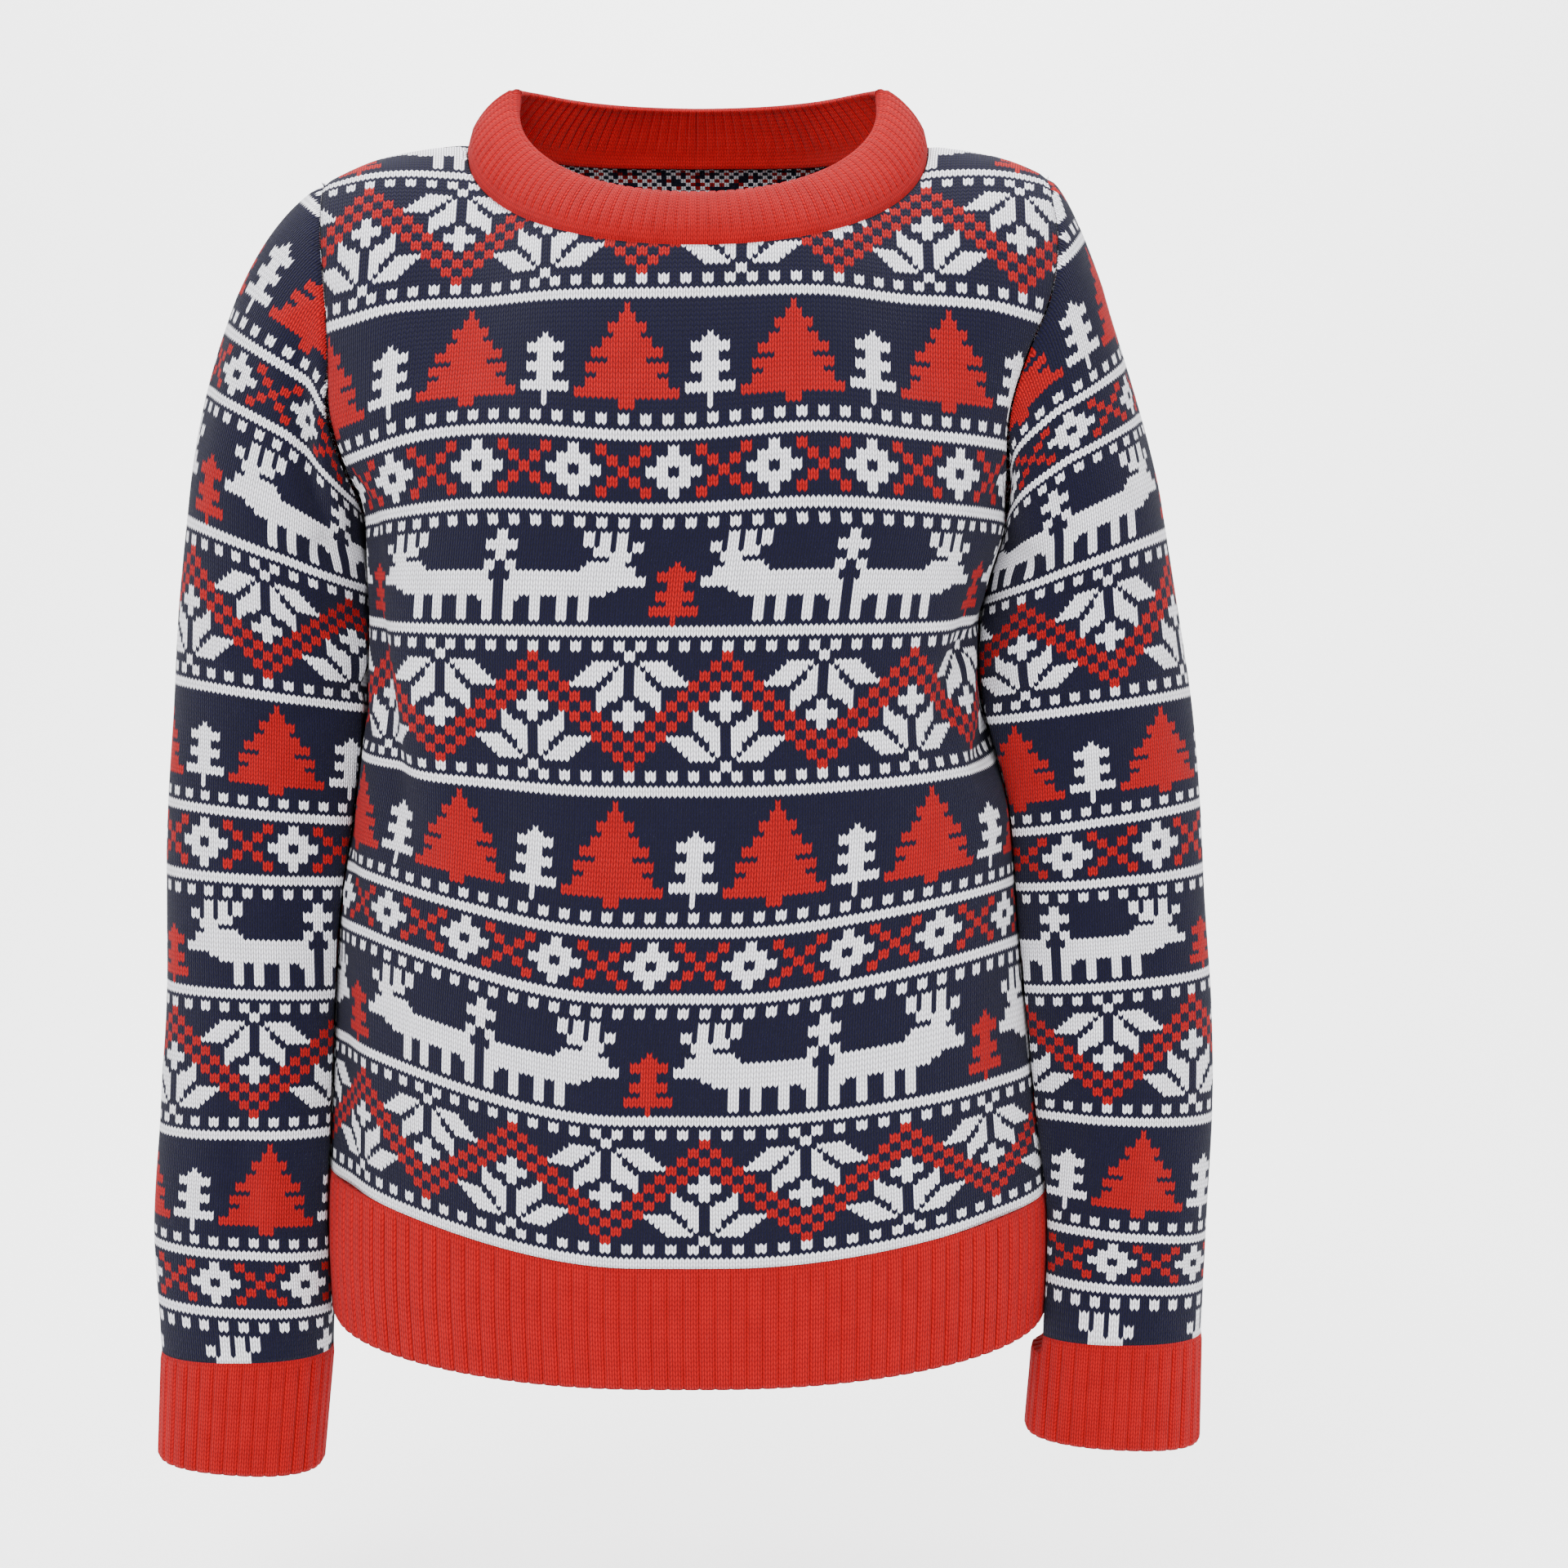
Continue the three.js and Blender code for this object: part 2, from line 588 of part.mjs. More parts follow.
function hemMesh(side, panel) {
  const count = panel[0].length - 1;
  const upper = dropBy(panel[0], SEAM_GAP);
  const lower = panel[0].map((_, i) => {
    const t = (2 * i) / count - 1;
    return bodyPoint(side, side === "front" ? t : -t, HEM_TOP_Z - HEM_LENGTH);
  });
  const keep = (p) => {
    p.y = side === "front" ? Math.min(p.y, -SEAM_GAP / 2) : Math.max(p.y, SEAM_GAP / 2);
    return p;
  };
  return ribMesh("hem_rib_" + side, upper, lower, HEM_RIBS, false, PLAIN_RIB_COLUMNS, keep);
}

function cuffMesh(side, sleeve) {
  const sign = side === "left" ? 1 : -1;
  const end = sleeveTurns.map((turn) => ringPoint(sign, CUFF_END[side], turn));
  const ordered = sign < 0 ? end : [end[0], ...end.slice(1).reverse()];
  const loop = (chain) => [...chain, chain[0]];
  return ribMesh("cuff_" + side, loop(dropBy(sleeve[0], SEAM_GAP)), loop(ordered), CUFF_RIBS, true, 20);
}

// The neck hole's edge on the two panels, once round from the left by the front. It serves the
// edge's points and its normals alike.
function neckChain(front, back) {
  const last = SHOULDER_COLUMNS + NECK_COLUMNS;
  const ahead = front[front.length - 1].slice(SHOULDER_COLUMNS, last + 1);
  const top = back[back.length - 1];
  const behind = top.slice(top.length - last, top.length - 1 - SHOULDER_COLUMNS);
  return [...ahead, ...behind, ahead[0]];
}

// The folded upper edge of the neckband, at a share of the way round.
function bandTopPoint(share) {
  const turn = share * 2 * Math.PI;
  const x = -Math.cos(turn);
  const inFront = Math.sin(turn) >= 0;
  const y = Math.abs(Math.sin(turn));
  const depth = inFront ? BAND_TOP.front : BAND_TOP.back;
  const drop = inFront ? BAND_TOP.frontDrop * y ** 0.8 : BAND_TOP.backDrop * y ** 2.5;
  return point(NECK_CENTRE_X + BAND_TOP.halfWidth * x, depth * y, BAND_TOP.sideZ - drop);
}

// The neckband's outline across: along is from the seam to the folded edge, deep is how far
// under its outer face and bulge the rounding outwards. The two spots at the seam follow the panel.
const BAND_OUTLINE = [
  { along: 0, deep: 0, bulge: 0, ribbed: 0 },
  { along: 0.28, deep: 0, bulge: 4.5, ribbed: 1 },
  { along: 0.75, deep: 0, bulge: 4.5, ribbed: 1 },
  { along: 1, deep: 0.5, bulge: 0, ribbed: 0.8 },
  { along: 0.75, deep: 1, bulge: 2.2, ribbed: -1 },
  { along: 0, deep: 0.7, bulge: 0, ribbed: 0 },
];

function neckbandMesh(front, back) {
  const chain = neckChain(front.grid, back.grid);
  const facing = neckChain(front.normals, back.normals);
  const stations = 2 * NECK_RIBS;
  const shares = evenShares(chain, stations).slice(0, stations);
  const seam = shares.map((share) => alongChain(chain, share));
  const edge = shares.map(bandTopPoint);
  const rings = BAND_OUTLINE.map((spot) =>
    seam.map((p, i) => {
      const up = edge[i].clone().sub(p);
      const ahead = seam[(i + 1) % stations];
      const before = seam[(i + stations - 1) % stations];
      const out = ahead.clone().sub(before).cross(up).normalize();
      if (spot.along === 0) out.copy(alongChain(facing, shares[i]).normalize());
      const crest = (i % 2 === 1 ? RIB_HEIGHT / 2 : -RIB_HEIGHT / 2) * spot.ribbed;
      const offset = spot.bulge - spot.deep * BAND_THICKNESS + crest;
      const lift = up.clone().setLength(SEAM_GAP * 2 + up.length() * spot.along * 0.98);
      return p.clone().add(lift).addScaledVector(out, offset);
    }),
  );
  return bandMesh("neckband", rings);
}

// A closed band of rings: each ring is joined to the next, and the last to the first.
function bandMesh(name, rings) {
  const positions = [];
  const wide = rings[0].length;
  rings.forEach((low, r) => {
    const high = rings[(r + 1) % rings.length];
    for (let c = 0; c < wide; c += 1) {
      const next = (c + 1) % wide;
      positions.push(...low[c].toArray(), ...low[next].toArray(), ...high[next].toArray());
      positions.push(...low[c].toArray(), ...high[next].toArray(), ...high[c].toArray());
    }
  });
  const geometry = new THREE.BufferGeometry();
  geometry.setAttribute("position", new THREE.Float32BufferAttribute(positions, 3));
  geometry.computeVertexNormals();
  const mesh = new THREE.Mesh(geometry, RED);
  mesh.name = name;
  return mesh;
}

// The back is seen from behind, so its columns run the other way and its normals point back.
const turnedRound = (grid) => grid.map((row) => [...row].reverse());

const panels = {
  front: foldPanel("front", panelGrid("front")),
  back: turnedRound(foldPanel("back", turnedRound(panelGrid("back")))),
};
const sheets = {
  front: { grid: panels.front, closed: false },
  back: { grid: turnedRound(panels.back), closed: false },
  left: { grid: sleeveGrid("left", panels), closed: true },
  right: { grid: sleeveGrid("right", panels), closed: true },
};
for (const sheet of Object.values(sheets)) sheet.normals = normalsOf(sheet.grid, sheet.closed);
shareNormals([sheets.front, sheets.back], [sheets.left, sheets.right]);

const sweater = new THREE.Group();
sweater.add(clothMesh("front_panel", sheets.front, NAVY));
sweater.add(clothMesh("back_panel", sheets.back, NAVY));
sweater.add(clothMesh("sleeve_left", sheets.left, NAVY));
sweater.add(clothMesh("sleeve_right", sheets.right, NAVY));
sweater.add(hemMesh("front", sheets.front.grid));
sweater.add(hemMesh("back", sheets.back.grid));
sweater.add(cuffMesh("left", sheets.left.grid));
sweater.add(cuffMesh("right", sheets.right.grid));
sweater.add(neckbandMesh(sheets.front, sheets.back));

export default sweater;
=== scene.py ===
# %% [markdown]
# A knitted Christmas jumper, filled out as it is when worn. It is made the way a knitter makes it:
# four jacquard pieces (front, back and two sleeves) are knitted flat, one mesh face for each stitch,
# cut to shape, and wrapped on the form that the frame's solids have. Then come the ribbed hem, cuffs
# and neckband. One face a stitch means that the charted pattern can be stored on the faces, and a
# shader then draws each stitch's V.

# %% Frame and tools
import math

import bmesh
import bpy
import numpy as np
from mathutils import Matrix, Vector, kdtree


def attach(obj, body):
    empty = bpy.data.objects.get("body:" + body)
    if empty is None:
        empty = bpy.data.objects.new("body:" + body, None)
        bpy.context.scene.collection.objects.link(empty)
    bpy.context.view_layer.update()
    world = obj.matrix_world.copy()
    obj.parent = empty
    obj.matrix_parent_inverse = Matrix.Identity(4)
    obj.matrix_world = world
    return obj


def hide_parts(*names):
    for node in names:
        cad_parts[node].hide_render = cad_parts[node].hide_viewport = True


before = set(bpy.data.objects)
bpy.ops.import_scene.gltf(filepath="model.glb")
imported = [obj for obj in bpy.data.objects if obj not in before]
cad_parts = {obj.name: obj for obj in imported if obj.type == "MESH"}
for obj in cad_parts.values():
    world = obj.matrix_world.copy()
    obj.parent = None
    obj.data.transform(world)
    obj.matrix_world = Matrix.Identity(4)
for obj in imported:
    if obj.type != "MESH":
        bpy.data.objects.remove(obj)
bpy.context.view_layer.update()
print("frame nodes:", sorted(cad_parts))

# %% [markdown]
# Knitting is counted, so the sizes are stitches and rows. A stitch is a little wider than it is
# tall. All lengths below are millimetres in the frame's axes, and they become metres in one place,
# where a mesh is made.

# %% Sizes
MM = 0.001
STITCH = 2.76  # width of a stitch
ROW = 2.55  # height of a row of the ribs, and about that on the body
CHEST_ROW = 2.68  # the chest hangs from the shoulders, so its rows are drawn out a little
CAP_ROW = {"left": 2.38, "right": 2.70}  # height of a row on a sleeve's cap
CAP_SPREAD = {"outer": 0.12, "inner": 0.32}  # taller on the outer side, lower on the inner one
CAP_CREASE = {"left": 56, "right": 70}  # up the cap, where a crease draws the rows together
HALF_STITCHES = 87  # from the middle of the front to a side seam
SLEEVE_STITCHES = 64  # from a sleeve's outer line to its underarm seam, at most
CLOTH = 2.6  # thickness of the two-layer knit
RIB_CLOTH = 2.6
HEM_TOP_Z, HEM_LENGTH, HEM_RIBS = -611, 66, 60
ARMPIT_Z = -215
NECK_CENTRE_X, NECK_HALF_WIDTH = 3, 126
NECK_DROP = {"front": 65, "back": 2}
NECK_RIBS, CUFF_RIBS, RIB_HEIGHT = 110, 34, 1.5
BAND_THICKNESS = 6
ROLL_START_Z = -210
ROLL_POWER = {"front": 2.0, "back": 2.4}
NECK_SLOPE = {"out": 118, "width": 42, "front": 0.5, "back": 0.7}
SLEEVE_SQUARE = 2.3
SLEEVE_CLEARANCE = 1.2
CAP_FULLNESS = {"left": 0.4, "right": 0.92}
STEPS = np.linspace(0, 1, 61)

# %% [markdown]
# The form is written as short tables, the same ones that the solids are built from: cross-sections
# of the body, the armholes, the shoulder line and the rings of the sleeves. A smooth curve through
# each column gives any section in between, finer than the solids' faces.

# %% The form's tables
def table(names, *rows):
    return dict(zip(names.split(), np.array(rows, float).T))


BODY = table(
    "z left right front back square lift",
    (-140, -186, 180, 118, 112, 2.5, -8),
    (-180, -182, 176, 121, 112, 2.6, -8),
    (-215, -179, 172, 121, 111, 2.8, -6),
    (-250, -178, 163, 120, 111, 3.0, 4),
    (-285, -177, 157, 119, 110, 3.1, 10),
    (-325, -179, 158, 117, 109, 3.0, 12),
    (-385, -186, 174, 114, 107, 2.6, 6),
    (-463, -197, 181, 111, 104, 2.4, 0),
    (-540, -202, 190, 108, 101, 2.3, 5),
    (-611, -205, 198, 106, 98, 2.3, 13),
    (-645, -206, 199, 105, 97, 2.3, 16),
    (-685, -203, 197, 104, 96, 2.3, 19),
)
# The rows are also drawn up at the sides, most on the wearer's right, as on a garment that hangs
# a little askew. The rise is full from RISE_TO of the way round to a side seam.
SIDE_RISE = table(
    "z left right",
    (-285, 0, 0),
    (-325, 2, 2),
    (-385, 16, 10),
    (-463, 31, 21),
    (-540, 30, 10),
    (-611, 26, 14),
    (-645, 14, 9),
    (-685, 3, 3),
)
RISE_FROM, RISE_TO = 0.1, 0.85
ARMHOLE = table(
    "z left right inset",
    (-30, -203, 195, 0.11),
    (-66, -200, 198, 0.11),
    (-98, -196, 193, 0.11),
    (-130, -194, 180, 0.105),
    (-160, -193, 171, 0.09),
    (-185, -187, 170, 0.06),
    (-205, -180, 171, 0.02),
    (-215, -179, 172, 0),
)
SHOULDER = table(
    "out z", (0, 4), (60, 1), (115, -8), (150, -13), (175, -19), (200, -30), (215, -38)
)
RING = "outer outerZ inner innerZ half y"
SLEEVE = {
    "left": table(
        RING,
        (258, -203, 160, -247, 57, 0),
        (268, -262, 150, -290, 53, 0),
        (277, -318, 150, -332, 49, 0),
        (282, -372, 163, -378, 46, -1),
        (285, -428, 171, -428, 44, -3),
        (289, -484, 177, -484, 42, -5),
        (290, -540, 183, -540, 40, -7),
        (287, -600, 190, -600, 38, -10),
        (284, -668, 191, -668, 37, -13),
    ),
    "right": table(
        RING,
        (278, -203, 174, -247, 57, 0),
        (285, -262, 168, -290, 52, 0),
        (289, -318, 171, -332, 48, 0),
        (293, -372, 178, -378, 45, -1),
        (295, -428, 185, -428, 43, -3),
        (296, -484, 190, -484, 41, -5),
        (299, -545, 194, -545, 39, -7),
        (303, -610, 198, -610, 38, -10),
        (299, -678, 204, -678, 37, -13),
    ),
}
CUFF_END = {
    "left": dict(outer=283, outerZ=-729, inner=186, innerZ=-724, half=36, y=-16),
    "right": dict(outer=301, outerZ=-737, inner=210, innerZ=-744, half=36, y=-16),
}


def follow(rows, key, by, at):
    """A column of a table, read between its rows along a smooth curve."""
    order = np.argsort(rows[by])
    x, y = rows[by][order], rows[key][order]
    low = np.maximum(np.arange(len(x)) - 1, 0)
    high = np.minimum(np.arange(len(x)) + 1, len(x) - 1)
    slope = (y[high] - y[low]) / (x[high] - x[low])
    at = np.clip(at, x[0], x[-1])
    i = np.clip(np.searchsorted(x, at, side="right") - 1, 0, len(x) - 2)
    span = x[i + 1] - x[i]
    f = (at - x[i]) / span
    return (
        (2 * f**3 - 3 * f**2 + 1) * y[i]
        + (f**3 - 2 * f**2 + f) * span * slope[i]
        + (3 * f**2 - 2 * f**3) * y[i + 1]
        + (f**3 - f**2) * span * slope[i + 1]
    )


print("armpit width in mm:", follow(BODY, "right", "z", ARMPIT_Z) - follow(BODY, "left", "z", ARMPIT_Z))

# %% [markdown]
# Below the armpits a row of stitches lies on a rounded section. Above them the chest leans back to
# the shoulder line. Stitches keep their width, so each is laid off by length along the cloth: the
# columns turn away at the sides, as they do on the real garment, and the armhole cuts across them.

# %% Body form
FACING = {"front": -1.0, "back": 1.0}


def bow(share, power):
    return np.clip(1 - np.minimum(1, share) ** power, 0, None) ** (1 / power)


def lengths_of(points):
    """Length along a chain of points, from its start."""
    return np.concatenate([[0], np.cumsum(np.linalg.norm(np.diff(points, axis=0), axis=1))])


def quarter_of(a, b, power, share):
    """x and y on a quarter of a rounded section, at even shares of its length."""
    turn = STEPS * math.pi / 2
    chain = np.stack([a * np.sin(turn) ** (2 / power), b * np.cos(turn) ** (2 / power)], 1)
    length = lengths_of(chain)
    at = share * length[-1]
    return np.interp(at, length, chain[:, 0]), np.interp(at, length, chain[:, 1])


def rise(t, z):
    """How far a row of the body rises at a place round it."""
    share = np.clip((abs(t) - RISE_FROM) / (RISE_TO - RISE_FROM), 0, 1)
    each = np.where(t < 0, follow(SIDE_RISE, "left", "z", z), follow(SIDE_RISE, "right", "z", z))
    return each * share**2 * (3 - 2 * share)


def body_row(side, t, z):
    """Points of the body's section at one height. t is -1 and 1 at the side seams."""
    left, right, depth, square, lift = (
        follow(BODY, key, "z", z) for key in ("left", "right", side, "square", "lift")
    )
    x, y = quarter_of((right - left) / 2, depth, square, abs(t))
    level = z + lift * abs(t) ** 3 + rise(t, z)
    return np.stack([(left + right) / 2 + np.sign(t) * x, FACING[side] * y, level], -1)


def body_reach(sign, y, z):
    """How far the body reaches to one side, where a sleeve hangs beside it."""
    level = z - follow(BODY, "lift", "z", z) - rise(np.full_like(z, sign), z)
    left, right, square = (follow(BODY, key, "z", level) for key in ("left", "right", "square"))
    depth = np.where(y < 0, follow(BODY, "front", "z", level), follow(BODY, "back", "z", level))
    half = (right - left) / 2 * bow(abs(y) / depth, square)
    reach = half + sign * (left + right) / 2 + np.where(level < HEM_TOP_Z + 10, RIB_HEIGHT / 2, 0)
    return np.where(z < HEM_TOP_Z - HEM_LENGTH, 0, reach)


def shoulder_z(x):
    return follow(SHOULDER, "z", "out", abs(x))


def chest_depth(side, x, z):
    left, right, inset = (follow(ARMHOLE, key, "z", z) for key in ("left", "right", "inset"))
    share = abs(x - (left + right) / 2) / ((right - left) / 2 * (1 + inset))
    full = follow(BODY, side, "z", z) * bow(share, follow(BODY, "square", "z", z))
    rolled = np.clip((z - ROLL_START_Z) / (shoulder_z(x) - ROLL_START_Z), 0, 1)
    beside = np.exp(-(((abs(x - NECK_CENTRE_X) - NECK_SLOPE["out"]) / NECK_SLOPE["width"]) ** 2))
    return full * bow(rolled, ROLL_POWER[side] - NECK_SLOPE[side] * beside)


def chest_points(side, x, z):
    return np.stack([x, FACING[side] * chest_depth(side, x, z), z], -1)


def neck_z(side, x):
    share = abs(x - NECK_CENTRE_X) / NECK_HALF_WIDTH
    corners = NECK_CENTRE_X + np.array([-NECK_HALF_WIDTH, NECK_HALF_WIDTH])
    return np.interp(x, corners, shoulder_z(corners)) - NECK_DROP[side] * bow(share, 2.2)


def neck_curve(side, count=400):
    turn = np.linspace(-0.5, 0.5, count) * math.pi
    x = NECK_CENTRE_X + NECK_HALF_WIDTH * np.sin(turn)
    return chest_points(side, x, neck_z(side, x))


def armhole_curve(side, hand, share):
    """The armhole's edge, from the armpit (share 0) to the tip of the shoulder (share 1)."""
    tip = follow(ARMHOLE, hand, "z", 0)
    z = ARMPIT_Z + (shoulder_z(tip) - ARMPIT_Z) * share
    return chest_points(side, follow(ARMHOLE, hand, "z", z), z)


print("neck hole, lowest point:", neck_curve("front")[200].round(1))

# %% Rows and columns laid off along the cloth
def chest_grid(side, reach, rows):
    """Points over the armpits for columns at distances `reach` from the middle and rows at
    distances `rows` up the cloth, and how long each column is to the shoulder."""
    shares = 1 - (1 - np.linspace(0, 1, 160)) ** 2
    x = np.linspace(-240, 240, 961)
    levels = []
    lift = follow(BODY, "lift", "z", ARMPIT_Z)
    for share in shares:
        t = np.clip(abs(x + 3.5) / 175.5, 0, 1)
        for _ in range(2):
            z = (ARMPIT_Z + lift * t**3) * (1 - share) + shoulder_z(x) * share
            points = chest_points(side, x, z)
            length = lengths_of(points)
            length = length - np.interp(-3.5, x, length)
            t = np.clip(abs(length) / abs(reach).max(), 0, 1)
        levels.append(np.stack([np.interp(reach, length, points[:, k]) for k in range(3)], -1))
    levels = np.array(levels)
    grid = np.zeros((len(rows), len(reach), 3))
    total = np.zeros(len(reach))
    for c in range(len(reach)):
        length = lengths_of(levels[:, c])
        total[c] = length[-1]
        for k in range(3):
            grid[:, c, k] = np.interp(rows, length, levels[:, c, k])
    return grid, total


ROW_HEIGHT = table(  # where the rows lie on the body: the hem draws the lowest ones together
    "row z", (0, -611), (33, -533), (58, -468), (72, -433), (100, -359), (132, -276), (156, -215)
)
ARMPIT_ROW = 156
WALE_DRIFT = table("z by", (-680, -8), (-570, -6.6), (-495, -5), (-447, -3), (-390, -2), (-316, 0), (0, 0))


WAVE = "x z reach_x reach_z lift"
ROW_WAVES = {
    "front": table(
        WAVE,
        (-101, -175, 45, 60, 3.6),
        (74, -160, 50, 80, 4.6),
        (-17, -185, 45, 50, -1.6),
        (-185, -130, 34, 80, -8),
        (186, -95, 34, 60, -6),
    ),
    "back": table(WAVE, (-90, -120, 60, 80, 3), (80, -140, 50, 80, 2.4), (0, -340, 90, 60, -3)),
}


def with_waves(grid, side, row_size):
    """The rows bow a little up or down where the cloth is pulled. Returns the grid after that, and
    by how many rows each corner moved."""
    moved = np.zeros(grid.shape[:2])
    for x, z, reach_x, reach_z, lift in zip(*ROW_WAVES[side].values()):
        across = ((grid[:, :, 0] - x) / reach_x) ** 2 + ((grid[:, :, 2] - z) / reach_z) ** 2
        moved += lift * np.exp(-across) / row_size[:, None]
    number = np.arange(grid.shape[0])
    waved = grid.copy()
    for c in range(grid.shape[1]):
        for k in range(3):
            waved[:, c, k] = np.interp(number + moved[:, c], number, grid[:, c, k])
    return waved, moved


def panel_grid(side):
    """Every corner of the front's or back's stitches, from the hem up, seen from outside."""
    hand = 1 if side == "front" else -1
    columns = np.arange(-HALF_STITCHES, HALF_STITCHES + 1)
    grid = []
    for z in follow(ROW_HEIGHT, "z", "row", np.arange(ARMPIT_ROW)):
        drift = hand * follow(WALE_DRIFT, "by", "z", z) * (1 - (columns / HALF_STITCHES) ** 2)
        grid.append(body_row(side, hand * (columns + drift) / HALF_STITCHES, z))
    edge = body_row(side, np.linspace(0, 1, 200), ARMPIT_Z)
    reach = hand * columns / HALF_STITCHES * lengths_of(edge)[-1]
    above = np.arange(106) * CHEST_ROW
    chest, total = chest_grid(side, reach, above)
    row_size = np.where(np.arange(ARMPIT_ROW + len(above)) < ARMPIT_ROW, ROW, CHEST_ROW)
    grid, moved = with_waves(np.concatenate([np.array(grid), chest]), side, row_size)
    return grid, moved, total


# %% [markdown]
# The cloth is soft, so it has creases. Each one is a trough or a ridge along a straight line, with
# its own length, width and depth, and it fades out at both ends. The large ones are in the solids
# too. They are set from the photograph, with similar ones on the sides that it hides.

# %% Folds
FOLD = "t0 z0 t1 z1 width depth"
FOLDS = {
    "front": (
        (-0.78, -232, -0.60, -400, 15, -8),
        (-0.62, -240, -0.47, -420, 18, 3.5),
        (0.80, -235, 0.60, -345, 15, -6),
        (0.93, -330, 0.70, -350, 12, -6),
        (-0.86, -420, -0.72, -640, 20, -4),
        (0.82, -430, 0.72, -640, 20, -3.5),
        (-0.90, -150, -0.66, -262, 9, -3),
        (0.92, -165, 0.60, -240, 10, -3.2),
        (0.95, -262, 0.62, -300, 7, -3.4),
        (0.90, -372, 0.58, -398, 8, 2.4),
        (-0.94, -300, -0.70, -352, 7, -2.6),
        (-0.95, -372, -0.66, -446, 9, -2.2),
        (-0.30, -250, -0.42, -480, 20, -1.6),
        (0.34, -260, 0.44, -520, 22, -1.8),
        (0.05, -430, 0.02, -606, 26, -1.4),
        (-0.70, -60, -0.46, -150, 12, -1.8),
        (0.72, -62, 0.50, -160, 12, -1.8),
    ),
    "back": (
        (-0.80, -232, -0.42, -380, 18, -7),
        (0.78, -236, 0.45, -410, 17, -7),
        (-0.30, -330, -0.22, -600, 26, -5),
        (0.28, -370, 0.33, -630, 24, -5),
        (0.02, -90, 0, -230, 30, -4),
        (-0.92, -150, -0.62, -250, 9, -3),
        (0.93, -160, 0.60, -262, 9, -3),
        (-0.92, -300, -0.58, -330, 8, -3),
        (0.94, -290, 0.60, -350, 8, -3),
        (-0.66, -420, -0.58, -600, 16, -2.4),
        (0.66, -440, 0.60, -606, 15, -2.2),
        (0.00, -420, 0.05, -600, 20, 2),
    ),
    "sleeve_left": (
        (-0.95, -225, -0.42, -262, 8, -4.5),
        (-0.95, -268, -0.30, -288, 8, -4),
        (-0.98, -305, -0.42, -318, 7, -3.2),
        (-0.60, -345, -0.35, -470, 11, -2.4),
        (-0.75, -480, -0.50, -640, 10, -2),
        (0.92, -240, 0.40, -268, 9, -4),
        (0.94, -300, 0.45, -315, 8, -3.4),
        (0.60, -360, 0.42, -520, 12, -2.4),
        (-0.05, -90, -0.20, -190, 10, -1.6),
        (0.15, -560, 0.05, -660, 10, -1.8),
        (-0.30, -560, -0.38, -664, 8, -1.8),
    ),
    "sleeve_right": (
        (0.95, -222, 0.50, -246, 8, -4.5),
        (0.42, -105, 0.80, -232, 7, -6),
        (0.60, -140, 0.90, -240, 9, 4),
        (0.97, -262, 0.38, -290, 8, -4.2),
        (0.98, -300, 0.50, -330, 7, -3.4),
        (0.70, -350, 0.62, -470, 10, -2.6),
        (0.40, -500, 0.52, -660, 10, -2.2),
        (-0.92, -236, -0.42, -262, 9, -4),
        (-0.95, -296, -0.40, -318, 8, -3.6),
        (-0.58, -370, -0.44, -540, 12, -2.2),
        (0.10, -95, 0.26, -190, 10, -1.6),
        (-0.10, -570, 0.02, -668, 10, -1.8),
        (0.12, -400, 0.04, -520, 14, -1.2),
    ),
}
FOLD_REACH = 240  # width of half a panel, to lay the folds' lines off in millimetres
SLEEVE_FOLD_REACH = 165


def fold_depth(folds, t, z, reach):
    total = np.zeros_like(z)
    for row in folds:
        t0, z0, t1, z1, width, depth = row
        across, down = (t1 - t0) * reach, z1 - z0
        px, pz = (t - t0) * reach, z - z0
        length = math.hypot(across, down)
        along = (px * across + pz * down) / length**2
        aside = (px * down - pz * across) / length
        fade = np.sin(np.clip(along, 0, 1) * math.pi) ** 0.8
        total += depth * fade * np.exp(-((aside / width) ** 2))
    return total


def normals_of(grid):
    across, up = np.gradient(grid, axis=1), np.gradient(grid, axis=0)
    normal = np.cross(across, up)
    return normal / np.maximum(np.linalg.norm(normal, axis=2, keepdims=True), 1e-9)


print("folds:", {name: len(rows) for name, rows in FOLDS.items()})

# %% [markdown]
# A sleeve is a tube of rounded rings down to the cuff, and its cap rises from the top ring to the
# armhole's edge on curved lines. Its stitches are laid off from the outer line to both sides, and
# the underarm seam cuts off what a narrower forearm has no room for, as it does on a sewn sleeve.

# %% Sleeve form
def ring_at(side, place):
    """A ring of a sleeve. place is 0 at the cuff and 1 at the top ring."""
    rows = SLEEVE[side]
    count = len(rows["outer"]) - 1
    numbered = dict(rows, i=np.arange(count + 1, dtype=float))
    return {key: float(follow(numbered, key, "i", (1 - place) * count)) for key in RING.split()}


def ring_points(side, ring, turn):
    """Points round a ring. turn is 0 at the outer side, pi at the underarm, negative on the back."""
    sign = 1 if side == "left" else -1
    half = (ring["outer"] - ring["inner"]) / 2
    share = abs(turn) / math.pi
    x, y = quarter_of(half, ring["half"], SLEEVE_SQUARE, abs(share - 0.5) * 2)
    out = np.where(share < 0.5, x, -x)
    middle = (ring["outer"] + ring["inner"]) / 2
    z = ring["innerZ"] + (ring["outerZ"] - ring["innerZ"]) * (out + half) / (2 * half)
    depth = ring["y"] - np.sign(turn) * y
    least = body_reach(sign, depth, z) + SLEEVE_CLEARANCE
    away = np.where(out < 0, np.maximum(middle + out, least), middle + out)
    return np.stack([sign * away, depth, z], -1)


